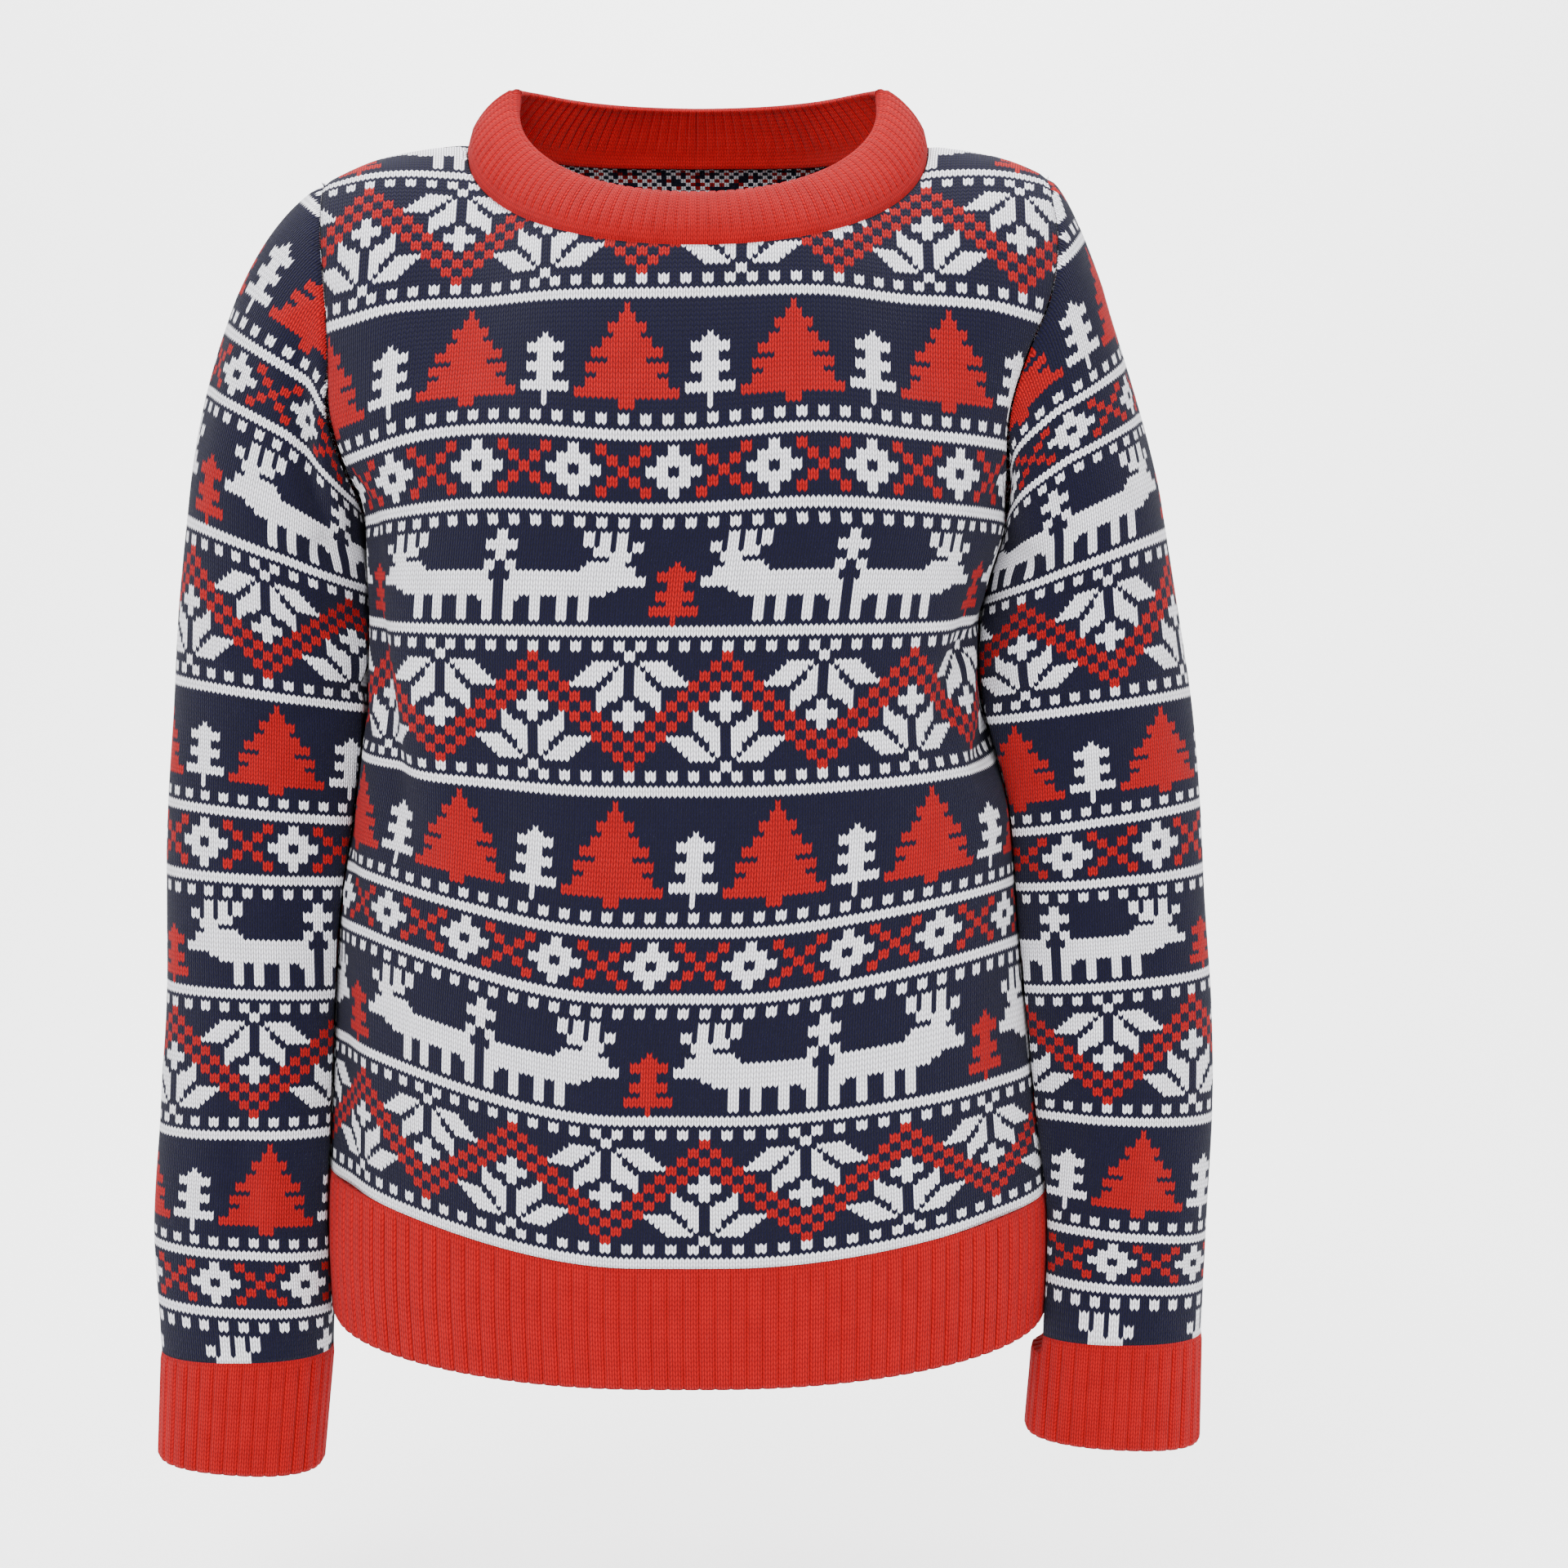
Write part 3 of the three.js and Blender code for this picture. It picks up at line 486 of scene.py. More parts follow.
def cap_points(side, turn, f):
    """Points of the cap on lines from the top ring (f 0) to the armhole's edge (f 1)."""
    sign = 1 if side == "left" else -1
    start = ring_points(side, ring_at(side, 1), turn)
    under = ring_points(side, ring_at(side, 14 / 15), turn)
    share = (1 + np.cos(turn)) / 2
    front, back = (armhole_curve(name, side_hand(side), share) for name in ("front", "back"))
    end = np.where((turn >= 0)[:, None], front, back)
    pull = np.linalg.norm(start - end, axis=1) * (0.5 + (CAP_FULLNESS[side] - 0.5) * share)
    rise = start - under
    rise /= np.linalg.norm(rise, axis=1, keepdims=True)
    inward = np.stack([-sign * (0.32 + 0.54 * share), 0 * share, 0.95 - 0.45 * share], -1)
    inward /= np.linalg.norm(inward, axis=1, keepdims=True)
    f = f[:, None, None]
    return (
        start * (2 * f**3 - 3 * f**2 + 1)
        + rise * pull[:, None] * (f**3 - 2 * f**2 + f)
        + end * (3 * f**2 - 2 * f**3)
        + inward * pull[:, None] * (f**3 - f**2)
    )


def side_hand(side):
    return "right" if side == "left" else "left"


TURNS = np.linspace(-math.pi, math.pi, 241)
SLEEVE_FIRST_ROW = 48  # of the chart, at the cuff's seam
# Where the chart's rows lie on the front of a sleeve, and how far they rise to its outer side.
SLEEVE_ROWS = {
    "left": table(
        "row z tilt",
        (48, -668, 0),
        (58, -638, -3),
        (72, -609, -5),
        (100, -545, -2),
        (132, -470, 5.5),
        (157, -413.5, 5),
        (171, -380.5, 7),
        (199, -319, 1),
        (231, -242.5, 0),
        (238, -225, 0),
    ),
    "right": table(
        "row z tilt",
        (48, -678, 0),
        (58, -651, 3),
        (72, -619, 4),
        (100, -553, 0.5),
        (132, -475, 2.5),
        (157, -412, 2.5),
        (171, -376.5, 3),
        (199, -312, 0),
        (231, -236, 0),
        (236, -223, 0),
    ),
}


def sleeve_grid(side):
    """Corners of a sleeve's stitches, from the cuff up and, seen from outside, left to right. With
    them come how far the cloth reaches round the sleeve at each corner, and each column's end."""
    hand = -1 if side == "left" else 1  # the front is on the right of the wearer's right sleeve
    at = hand * np.arange(-SLEEVE_STITCHES, SLEEVE_STITCHES + 1) * STITCH
    levels, numbers, reach = [], [], []
    for place in np.linspace(0, 1, 200):
        ring = ring_at(side, place)
        points = ring_points(side, ring, TURNS)
        around = lengths_of(points)
        around -= around[len(TURNS) // 2]
        level = np.stack([np.interp(at, around, points[:, k]) for k in range(3)], -1)
        middle, half = (ring["outer"] + ring["inner"]) / 2, (ring["outer"] - ring["inner"]) / 2
        height = (ring["outerZ"] + ring["innerZ"]) / 2
        number, tilt = (follow(SLEEVE_ROWS[side], key, "z", height) for key in ("row", "tilt"))
        levels.append(level)
        numbers.append(number - tilt * (abs(level[:, 0]) - middle) / half / ROW)
        reach.append((around[0], around[-1]))
    turn = np.interp(at, around, TURNS)
    lines = cap_points(side, turn, np.linspace(0, 1, 80))
    outer, inner = np.maximum(np.cos(turn), 0), np.minimum(np.cos(turn), 0)
    spread = 1 + CAP_SPREAD["outer"] * outer + CAP_SPREAD["inner"] * inner
    step = np.linalg.norm(np.diff(lines, axis=0), axis=2)
    climbed = np.cumsum(step, axis=0)
    crease = 1 - 0.22 * np.exp(-(((climbed - CAP_CREASE[side]) / 24) ** 2))
    levels = np.concatenate([np.array(levels), lines[1:]])
    counted = np.cumsum(step / (CAP_ROW[side] * spread * crease), axis=0)
    numbers = np.concatenate([np.array(numbers), numbers[-1] + counted])
    reach = np.array(reach + [reach[-1]] * len(climbed))
    rows = np.arange(SLEEVE_FIRST_ROW, int(numbers.max()) + 2)
    grid = np.zeros((len(rows), len(at), 3))
    low, high = np.zeros(grid.shape[:2]), np.zeros(grid.shape[:2])
    for c in range(len(at)):
        for k in range(3):
            grid[:, c, k] = np.interp(rows, numbers[:, c], levels[:, c, k])
        low[:, c], high[:, c] = (np.interp(rows, numbers[:, c], reach[:, k]) for k in range(2))
    return grid, low, high, numbers[-1] - SLEEVE_FIRST_ROW, hand


# %% [markdown]
# The pattern is a traditional Nordic one, charted: one letter for a stitch, w for white,
# r for red and a dot for the navy ground. Only small motifs are charted. The rows of dots, the
# checked zigzag and the repeats are worked out by loops.

# %% Charts of the motifs
NAVY_YARN, RED_YARN, WHITE_YARN = 0, 1, 2
LETTERS = {".": NAVY_YARN, "r": RED_YARN, "w": WHITE_YARN}


def tiers(letter, widths):
    """A tree drawn as one centred bar a row, from its tip down."""
    widest = max(widths)
    rows = []
    for width in widths:
        margin = "." * ((widest - width) // 2)
        rows.append(margin + letter * width + margin)
    return rows


RED_TREE_WIDTHS = [1, 1, 3, 3, 7, 7, 5, 9, 9, 13, 13, 7, 15, 15, 11, 15, 15, 19, 19, 3, 3]
RED_TREE = tiers("r", RED_TREE_WIDTHS)
WHITE_TREE = tiers("w", [1, 3, 7, 7, 3, 3, 7, 7, 3, 3, 9, 9, 1, 1, 1])
SMALL_RED_TREE = tiers("r", [1, 3, 7, 7, 3, 3, 7, 7, 3, 9, 9, 1, 1])
FLOWER = ["....ww....", "..wwwwww..", "wwww..wwww", "..wwwwww..", "....ww...."]
CROSS = ["rr......rr", "..rr..rr..", "....rr....", "..rr..rr..", "rr......rr"]
REINDEER = [
    "....ww.ww.ww..............",
    "....ww.ww.ww..............",
    ".ww.ww.ww.ww..............",
    ".ww.ww.www................",
    "...wwwwwww................",
    "...wwww...................",
    "....wwwwwww...............",
    "..wwwwwwwwww..............",
    "..wwwwwwwwwwwwwwwwwwwwwww.",
    "wwwwwwwwwwwwwwwwwwwwwwwww.",
    "wwwwwwwwwwwwwwwwwwwwwwwwww",
    ".....wwwwwwwwwwwwwwwwwwwww",
    ".......wwwwwwwwwwwwwwwwwww",
    "..........ww..ww...ww..www",
    "..........ww..ww...ww...ww",
    "..........ww..ww...ww...ww",
    "..........ww..ww...ww...ww",
    "..........ww..ww...ww...ww",
]
PLUS = ["..ww..", "..ww..", "wwwwww", "wwwwww", "..ww..", "..ww.."]
PAIR_OF_DOTS = ["ww..ww", "ww..ww"]
HALF_LILY = [  # left half, from its petals' tip down to the dot at its foot
    "..........w",
    "..........w",
    "........www",
    "........www",
    ".....w....w",
    ".....ww...w",
    ".....wwww..",
    ".....wwwww.",
    "......wwww.",
    "wwwww..www.",
    ".wwwww..ww.",
    "..wwwww.ww.",
    "...wwwww.w.",
    "....wwwww..",
    "..........w",
    "..........w",
]


def letters(rows):
    return np.array([[LETTERS[letter] for letter in row] for row in rows])


def double(rows):
    """Each letter becomes two rows tall."""
    return [row for row in rows for _ in range(2)]


def mirrored(rows):
    return [row[::-1] for row in rows]


def stamp(band, rows, left, top):
    """Lays a motif on a band that repeats sideways. top counts rows down from the band's top."""
    motif = letters(rows)
    for r, line in enumerate(motif):
        for c, yarn in enumerate(line):
            if yarn != NAVY_YARN:
                band[top + r, (left + c) % band.shape[1]] = yarn


# %% Bands of the pattern
def empty_band(height, width):
    return np.full((height, width), NAVY_YARN)


def dots(band, top, first):
    for column in range(first, first + band.shape[1], 4):
        for c in (column, column + 1):
            band[top : top + 2, c % band.shape[1]] = WHITE_YARN


def line(band):
    """Two white rows at a band's foot."""
    band[-2:, :] = WHITE_YARN


def tree_band():
    band = empty_band(28, 60)
    for left in (0, 30):
        stamp(band, RED_TREE, left - 19, 1)
        stamp(band, WHITE_TREE, left + 1, 7)
    dots(band, 23, 1)
    line(band)
    return band


def flower_band():
    band = empty_band(14, 18)
    stamp(band, double(FLOWER), -6, 1)
    stamp(band, double(CROSS), 3, 1)
    line(band)
    return band


def reindeer_band():
    band = empty_band(25, 64)
    stamp(band, REINDEER, 5, 4)
    stamp(band, mirrored(REINDEER), 33, 4)
    stamp(band, PLUS, 29, 4)
    stamp(band, PAIR_OF_DOTS, 29, 10)
    stamp(band, SMALL_RED_TREE, -4, 10)
    dots(band, 1, 1)
    line(band)
    return band


PEAK = 11  # column at the middle of a zigzag's peak; its trough is half a repeat away


def zigzag_band():
    band = empty_band(32, 36)
    for step in range(-9, 10):
        for row in (abs(step), abs(step) + 2):
            for column in (PEAK + 2 * step - 1, PEAK + 2 * step):
                band[3 + 2 * row : 5 + 2 * row, column % 36] = RED_YARN
    lily = [row + row[::-1] for row in HALF_LILY]
    stamp(band, lily, PEAK - 11, 11)
    stamp(band, lily[::-1], PEAK - 18 - 11, 3)
    dots(band, 1, PEAK - 1)
    dots(band, 27, PEAK - 18 - 1 + 36)
    line(band)
    return band


# The bands that make one repeat, from the hem up, as a list of rows.
BANDS = (zigzag_band(), reindeer_band(), flower_band(), tree_band())
CYCLE = [row for band in BANDS for row in band[::-1]]
BAND_FEET = np.cumsum([len(band) for band in BANDS[:-1]])
print("rows in one repeat of the pattern:", len(CYCLE))


def knit_chart(first_row, rows, columns, shift=None):
    """The yarn of every stitch of a piece. shift moves a row's pattern sideways."""
    chart = np.zeros((rows, len(columns)))
    for r in range(rows):
        pattern = CYCLE[(first_row + r) % len(CYCLE)]
        move = 0 if shift is None else int(round(shift[r]))
        chart[r] = pattern[(columns + move) % len(pattern)]
    return chart


# %% [markdown]
# A piece starts as Blender's own grid, with one face for each stitch. Its corners are moved to the
# laid-off places, the faces outside the cut are deleted, and the stepped edge that is left is drawn
# onto the seam's line. Near a seam the cloth turns in a little, as it does over a seam allowance.

# %% Making a knitted piece
TUCK, TUCK_WIDTH = 1.3, 3.2  # how deep the cloth turns in at a seam, and how far from it


def knitted_piece(name, grid, inside, chart, seams, snap):
    """grid holds the corners, inside and chart one value a stitch, seams the seam points, and
    snap marks the corners that may be drawn to a seam."""
    rows, columns = inside.shape
    bm = bmesh.new()
    bmesh.ops.create_grid(bm, x_segments=columns, y_segments=rows, size=0.5)
    uv_layer = bm.loops.layers.uv.new("stitches")
    own, below = (bm.faces.layers.float.new(word) for word in ("yarn", "yarn_below"))
    tree = kdtree.KDTree(len(seams))
    for i, p in enumerate(seams):
        tree.insert(p, i)
    tree.balance()
    place = {}
    for v in bm.verts:
        c, r = round((v.co.x + 0.5) * columns), round((v.co.y + 0.5) * rows)
        place[v] = (c, r)
    gone = []
    for face in bm.faces:
        spots = [place[v] for v in face.verts]
        c, r = min(s[0] for s in spots), min(s[1] for s in spots)
        if not inside[r, c]:
            gone.append(face)
            continue
        face[own] = chart[r, c]
        face[below] = chart[max(r - 1, 0), c]
        face.smooth = True
        for loop in face.loops:
            loop[uv_layer].uv = place[loop.vert]
    bmesh.ops.delete(bm, geom=gone, context="FACES")
    normals = normals_of(grid)
    for v in bm.verts:
        c, r = place[v]
        point = Vector(grid[r, c])
        near, _, distance = tree.find(point)
        if v.is_boundary and snap[r, c]:
            point, distance = near.copy(), 0
        point -= Vector(normals[r, c]) * TUCK * math.exp(-((distance / TUCK_WIDTH) ** 2))
        v.co = point * MM
    loose = [v for v in bm.verts if not v.link_faces]
    bmesh.ops.delete(bm, geom=loose, context="VERTS")
    return object_from(name, bm, CLOTH)


def object_from(name, bm, thickness):
    """The finished mesh as a piece. A Solidify modifier gives the cloth its thickness, inwards."""
    mesh = bpy.data.meshes.new(name)
    bm.to_mesh(mesh)
    bm.free()
    piece = bpy.data.objects.new(name, mesh)
    bpy.context.scene.collection.objects.link(piece)
    if thickness:
        shell = piece.modifiers.new("cloth thickness", "SOLIDIFY")
        shell.thickness = thickness * MM
        shell.offset = -1
        shell.material_offset = 1
        shell.material_offset_rim = 1
    print(name, len(mesh.polygons), "faces")
    return piece


def face_middles(values):
    return (values[:-1, :-1] + values[1:, :-1] + values[:-1, 1:] + values[1:, 1:]) / 4


def knit_panel(side):
    grid, moved, total = panel_grid(side)
    t = np.broadcast_to(np.linspace(-1, 1, grid.shape[1]), grid.shape[:2])
    edge = np.clip((1 - abs(t)) * 8, 0, 1)
    hand = 1 if side == "front" else -1
    depth = fold_depth(FOLDS[side], hand * t, grid[:, :, 2], FOLD_REACH) * edge
    x, z = grid[:, :, 0], grid[:, :, 2]
    flat_z = z.copy()
    grid = grid + normals_of(grid) * depth[:, :, None]
    middle_x, middle_z = face_middles(x), face_middles(flat_z)
    number = np.arange(grid.shape[0] - 1)[:, None]
    at = number + 0.5 - ARMPIT_ROW + face_middles(moved)
    past = at * CHEST_ROW > (total[:-1] + total[1:])[None, :] / 2
    high = number >= ARMPIT_ROW - 1
    left, right = (follow(ARMHOLE, word, "z", middle_z) for word in ("left", "right"))
    in_neck = (abs(middle_x - NECK_CENTRE_X) < NECK_HALF_WIDTH) & (middle_z > neck_z(side, middle_x))
    inside = ~(high & (past | in_neck | (middle_x < left) | (middle_x > right)))
    share = np.linspace(0, 1, 500)
    tips = [follow(ARMHOLE, word, "z", 0) for word in ("left", "right")]
    corners = [NECK_CENTRE_X - NECK_HALF_WIDTH, NECK_CENTRE_X + NECK_HALF_WIDTH]
    shoulders = [np.linspace(a, b, 160) for a, b in zip(tips, corners)]
    lines = [armhole_curve(side, "left", share), armhole_curve(side, "right", share), neck_curve(side)]
    lines += [np.stack([s, 0 * s, shoulder_z(s)], -1) for s in shoulders]
    lines += [np.array([body_row(side, np.array([e]), z)[0] for z in np.arange(-611, -215, 2.0)]) for e in (-1.0, 1.0)]
    snap = np.broadcast_to((np.arange(grid.shape[0]) >= ARMPIT_ROW)[:, None], grid.shape[:2])
    columns = np.arange(-HALF_STITCHES, HALF_STITCHES)
    start = 0 if side == "front" else 40  # the back's columns are another stretch of the pattern
    chart = knit_chart(0, inside.shape[0], columns + start)
    return knitted_piece("knit_" + side, grid, inside, chart, np.concatenate(lines), snap)


PIECES = {}
for side in ("front", "back"):
    PIECES[side] = knit_panel(side)

# %% [markdown]
# The sleeves are knitted from the same chart. Each hangs with its own stretch of the pattern in
# front, and the rows tilt over the cap because the arm hangs down from a sloping shoulder.

# %% Sleeves
# The column of the chart on the front of a sleeve, band by band from the cuff up.
SLEEVE_COLUMNS = {
    "left": (115, 105, 104, 102, 107, 97, 98, 98, 103, 108, 120, 108, 108, 108),
    "right": (145, 151, 138, 138, 148, 136, 137, 135, 140, 136, 141, 140, 140, 140),
}


def bands_before(row):
    """How many bands lie under a row of the chart."""
    return 4 * (row // len(CYCLE)) + np.searchsorted(BAND_FEET, row % len(CYCLE), side="right")


def knit_sleeve(side):
    grid, low, high, ends, hand = sleeve_grid(side)
    numbers = np.arange(-SLEEVE_STITCHES, SLEEVE_STITCHES + 1)
    rows = grid.shape[0]
    t = np.broadcast_to(hand * numbers / 60, grid.shape[:2])
    depth = fold_depth(FOLDS["sleeve_" + side], hand * t, grid[:, :, 2], SLEEVE_FOLD_REACH)
    depth = depth * np.clip((1.02 - abs(t)) * 8, 0, 1)
    fade = np.ones(rows)
    fade[:6] = np.linspace(0, 1, 6)
    grid = grid + normals_of(grid) * (depth * fade[:, None])[:, :, None]
    middle = hand * (numbers[:-1] + 0.5) * STITCH
    inside = (middle > face_middles(low)) & (middle < face_middles(high))
    inside &= np.arange(rows - 1)[:, None] + 0.5 < (ends[:-1] + ends[1:]) / 2
    share = np.linspace(0, 1, 500)
    lines = [armhole_curve(name, side_hand(side), share) for name in ("front", "back")]
    under = [ring_points(side, ring_at(side, place), np.array([math.pi]))[0] for place in np.linspace(0, 1, 500)]
    lines += [np.array(under), cap_points(side, np.array([math.pi]), np.linspace(0, 1, 40))[:, 0]]
    snap = np.broadcast_to((np.arange(rows) > 0)[:, None], grid.shape[:2])
    bands = bands_before(SLEEVE_FIRST_ROW + np.arange(rows - 1)) - bands_before(SLEEVE_FIRST_ROW)
    shift = np.array(SLEEVE_COLUMNS[side])[bands] - hand * 30
    chart = knit_chart(SLEEVE_FIRST_ROW, rows - 1, numbers[:-1], shift)
    return knitted_piece("knit_sleeve_" + side, grid, inside, chart, np.concatenate(lines), snap)


for side in ("left", "right"):
    PIECES["sleeve_" + side] = knit_sleeve(side)

# %% [markdown]
# Ribs are columns of plain stitches that stand proud, with a narrow groove of purl stitches between
# them. They are raised in the mesh, because their shadows and their wavy lower edge show from a
# step away. At the seam the rib is drawn flat.

# %% Ribbed pieces
RIB_COLUMNS = 8  # corners across one rib
RIB_STITCHES = 3  # two plain stitches and a purl one in each rib


def rib_relief(place):
    """Height of a rib over its groove, at a place counted in ribs."""
    across = abs(np.sin(place * math.pi))
    return RIB_HEIGHT * (1 - (1 - across) ** 3 - 0.5)


def ribbed_piece(name, rows, ribs, closed, length, heads):
    """rows is a function of the share across and the share down that gives a row of points."""
    count = ribs * RIB_COLUMNS
    down = int(length / ROW) + 1
    bm = bmesh.new()
    bmesh.ops.create_grid(bm, x_segments=count, y_segments=down, size=0.5)
    uv_layer = bm.loops.layers.uv.new("stitches")
    across = np.linspace(0, 1, count + 1)
    grid = np.array([rows(across, f) for f in np.linspace(1, 0, down + 1)])
    normals = normals_of(grid)
    ramp = np.clip(np.linspace(length, 0, down + 1) / heads, 0, 1)[:, None]
    relief = rib_relief(across * ribs)[None, :] * ramp
    turn_in = np.clip(1 - np.linspace(0, length, down + 1) / 3.0, 0, 1)[:, None] ** 2
    grid = grid + normals * (relief - 1.2 * turn_in)[:, :, None]
    for v in bm.verts:
        c, r = round((v.co.x + 0.5) * count), round((v.co.y + 0.5) * down)
        for loop in v.link_loops:
            loop[uv_layer].uv = (c * RIB_STITCHES / RIB_COLUMNS, r)
        v.co = Vector(grid[r, c]) * MM
    for face in bm.faces:
        face.smooth = True
    if closed:
        bmesh.ops.remove_doubles(bm, verts=bm.verts, dist=1e-6)
    return object_from(name, bm, RIB_CLOTH)


def hem_rows(side):
    hand = 1 if side == "front" else -1

    def row(share, f):
        return body_row(side, hand * (2 * share - 1), HEM_TOP_Z - 0.3 - f * (HEM_LENGTH - 0.3))

    return row


def cuff_rows(side):
    hand = -1 if side == "left" else 1
    top, end = ring_at(side, 0), CUFF_END[side]

    def row(share, f):
        ring = {key: top[key] + (end[key] - top[key]) * f for key in top}
        return ring_points(side, ring, hand * (2 * share - 1) * math.pi * 0.9999)

    return row


for side in ("front", "back"):
    PIECES["hem_" + side] = ribbed_piece("rib_hem_" + side, hem_rows(side), HEM_RIBS, False, HEM_LENGTH, 5)
for side in ("left", "right"):
    PIECES["cuff_" + side] = ribbed_piece("rib_cuff_" + side, cuff_rows(side), CUFF_RIBS, True, 64, 5)

# %% [markdown]
# The neckband is a strip of rib folded double and linked round the neck hole, so it is a closed
# ring: an outer face, a round fold at the top and an inner face. Both faces are ribbed, and a plain
# strip with the dimples of the linking runs along the seam.

# %% Neckband
BAND_TOP = dict(halfWidth=100, front=-71, back=46, sideZ=22, frontDrop=66, backDrop=4)
BAND_COLUMNS = 6


def band_top(turn):
    """The folded edge. turn goes once round from the wearer's right by the front."""
    front = np.sin(turn) >= 0
    y = abs(np.sin(turn))
    drop = np.where(front, BAND_TOP["frontDrop"] * y**0.8, BAND_TOP["backDrop"] * y**2.5)
    depth = np.where(front, BAND_TOP["front"], BAND_TOP["back"]) * y
    return np.stack([NECK_CENTRE_X - BAND_TOP["halfWidth"] * np.cos(turn), depth, BAND_TOP["sideZ"] - drop], -1)


def band_seam(turn):
    x = NECK_CENTRE_X - NECK_HALF_WIDTH * np.cos(turn)
    front, back = (chest_points(side, x, neck_z(side, x)) for side in ("front", "back"))
    return np.where((np.sin(turn) >= 0)[:, None], front, back)


def band_outline():
    """Places round the band's section: along the band, share of its thickness, and relief."""
    spots = []
    for f in np.linspace(0, 0.9, 11):
        spots.append((f, -4.5 * math.sin(math.pi * min(1, f / 0.95)) ** 0.7, min(1, max(0, f - 0.09) / 0.08)))
    for turn in np.linspace(15, 165, 6):
        rise = 0.9 + 0.1 * math.sin(math.radians(turn))
        spots.append((rise, BAND_THICKNESS / 2 * (1 - math.cos(math.radians(turn))), math.cos(math.radians(turn))))
    for f in np.linspace(0.9, 0, 9):
        inner = BAND_THICKNESS - 2.2 * math.sin(math.pi * f)
        spots.append((f, inner - 1.4 * (1 - f), -min(1, max(0, f - 0.12) / 0.08)))
    return spots + [(-0.06, 5.4, 0), (-0.12, 5.6, 0), (-0.14, 4.8, 0), (-0.06, 4.2, 0)]


def make_neckband():
    fine = np.linspace(0, 2 * math.pi, 2001)
    length = lengths_of(band_seam(fine))
    count = NECK_RIBS * BAND_COLUMNS
    turn = np.interp(np.linspace(0, length[-1], count + 1), length, fine)
    seam, top = band_seam(turn), band_top(turn)
    up = top - seam
    tall = np.linalg.norm(up, axis=1, keepdims=True)
    ahead = np.roll(seam[:-1], -1, 0) - np.roll(seam[:-1], 1, 0)
    out = np.cross(np.concatenate([ahead, ahead[:1]]), up)
    out /= np.linalg.norm(out, axis=1, keepdims=True)
    relief = rib_relief(np.arange(count + 1) / BAND_COLUMNS) / 1.15
    rings = []
    for along, deep, ribbed in band_outline():
        offset = -deep + relief * ribbed
        rings.append(seam + up / tall * (0.6 + tall * along * 0.98) + out * offset[:, None])
    rings.append(rings[0])
    grid = np.array(rings)
    rows = len(rings) - 1
    bm = bmesh.new()
    bmesh.ops.create_grid(bm, x_segments=count, y_segments=rows, size=0.5)
    uv_layer = bm.loops.layers.uv.new("stitches")
    around = lengths_of(grid[:, 0]) / ROW
    for v in bm.verts:
        c, r = round((v.co.x + 0.5) * count), round((v.co.y + 0.5) * rows)
        for loop in v.link_loops:
            loop[uv_layer].uv = (c * RIB_STITCHES / BAND_COLUMNS, around[r])
        v.co = Vector(grid[r, c]) * MM
    for face in bm.faces:
        face.smooth = True
    bmesh.ops.remove_doubles(bm, verts=bm.verts, dist=1e-6)
    bmesh.ops.recalc_face_normals(bm, faces=bm.faces)
    return object_from("rib_neckband", bm, 0)


PIECES["neckband"] = make_neckband()

# %% [markdown]
# A knitted stitch is a V of two strands, and its lower tip hangs into the stitch under it. So a
# face of the grid shows its own yarn in the V and, in its two lower corners, the yarn of the
# stitch below. Two shader groups work this out from the count of stitches in the UV map: one gives
# the colour of the yarns, the other the relief of the strands. The relief also darkens the colour in
# the grooves between the strands, as painted shade.

# %% Shader helpers
def new_group(name, inputs, outputs):
    group = bpy.data.node_groups.new(name, "ShaderNodeTree")
    for word, kind in inputs:
        group.interface.new_socket(word, in_out="INPUT", socket_type=kind)
    for word, kind in outputs:
        group.interface.new_socket(word, in_out="OUTPUT", socket_type=kind)
    return group, group.nodes.new("NodeGroupInput"), group.nodes.new("NodeGroupOutput")


def feed(tree, value, socket):
    """A link where value is another node's output, and a set number where it isn't."""
    if isinstance(value, bpy.types.NodeSocket):
        tree.links.new(value, socket)
    else:
        socket.default_value = value


def calc(tree, operation, *values):
    node = tree.nodes.new("ShaderNodeMath")
    node.operation = operation
    for i, value in enumerate(values):
        feed(tree, value, node.inputs[i])
    return node.outputs[0]


def mix_colour(tree, share, first, second, blend="MIX"):
    node = tree.nodes.new("ShaderNodeMix")
    node.data_type = "RGBA"
    node.blend_type = blend
    feed(tree, share, node.inputs["Factor"])
    feed(tree, first, node.inputs["A"])
    feed(tree, second, node.inputs["B"])
    return node.outputs["Result"]


def speckled_group():
    """Which yarn each stitch on the inside of a jacquard shows: the yarns take turns there."""
    group, inside, out = new_group("Backing yarns", [("Stitches", VECTOR)], [("White", NUMBER), ("Red", NUMBER)])
    split = group.nodes.new("ShaderNodeSeparateXYZ")
    group.links.new(inside.outputs["Stitches"], split.inputs[0])
    whole = group.nodes.new("ShaderNodeCombineXYZ")
    cells = [calc(group, "FLOOR", split.outputs[i]) for i in range(2)]
    for i in range(2):
        group.links.new(cells[i], whole.inputs[i])
    chance = group.nodes.new("ShaderNodeTexWhiteNoise")
    chance.noise_dimensions = "2D"
    group.links.new(whole.outputs[0], chance.inputs["Vector"])
    turn = calc(group, "FLOORED_MODULO", calc(group, "ADD", cells[0], cells[1]), 2.0)
    group.links.new(calc(group, "GREATER_THAN", calc(group, "ADD", chance.outputs[0], turn), 1.25), out.inputs[0])
    group.links.new(calc(group, "GREATER_THAN", chance.outputs[0], 0.55), out.inputs[1])
    return group


NUMBER, COLOUR, VECTOR = "NodeSocketFloat", "NodeSocketColor", "NodeSocketVector"


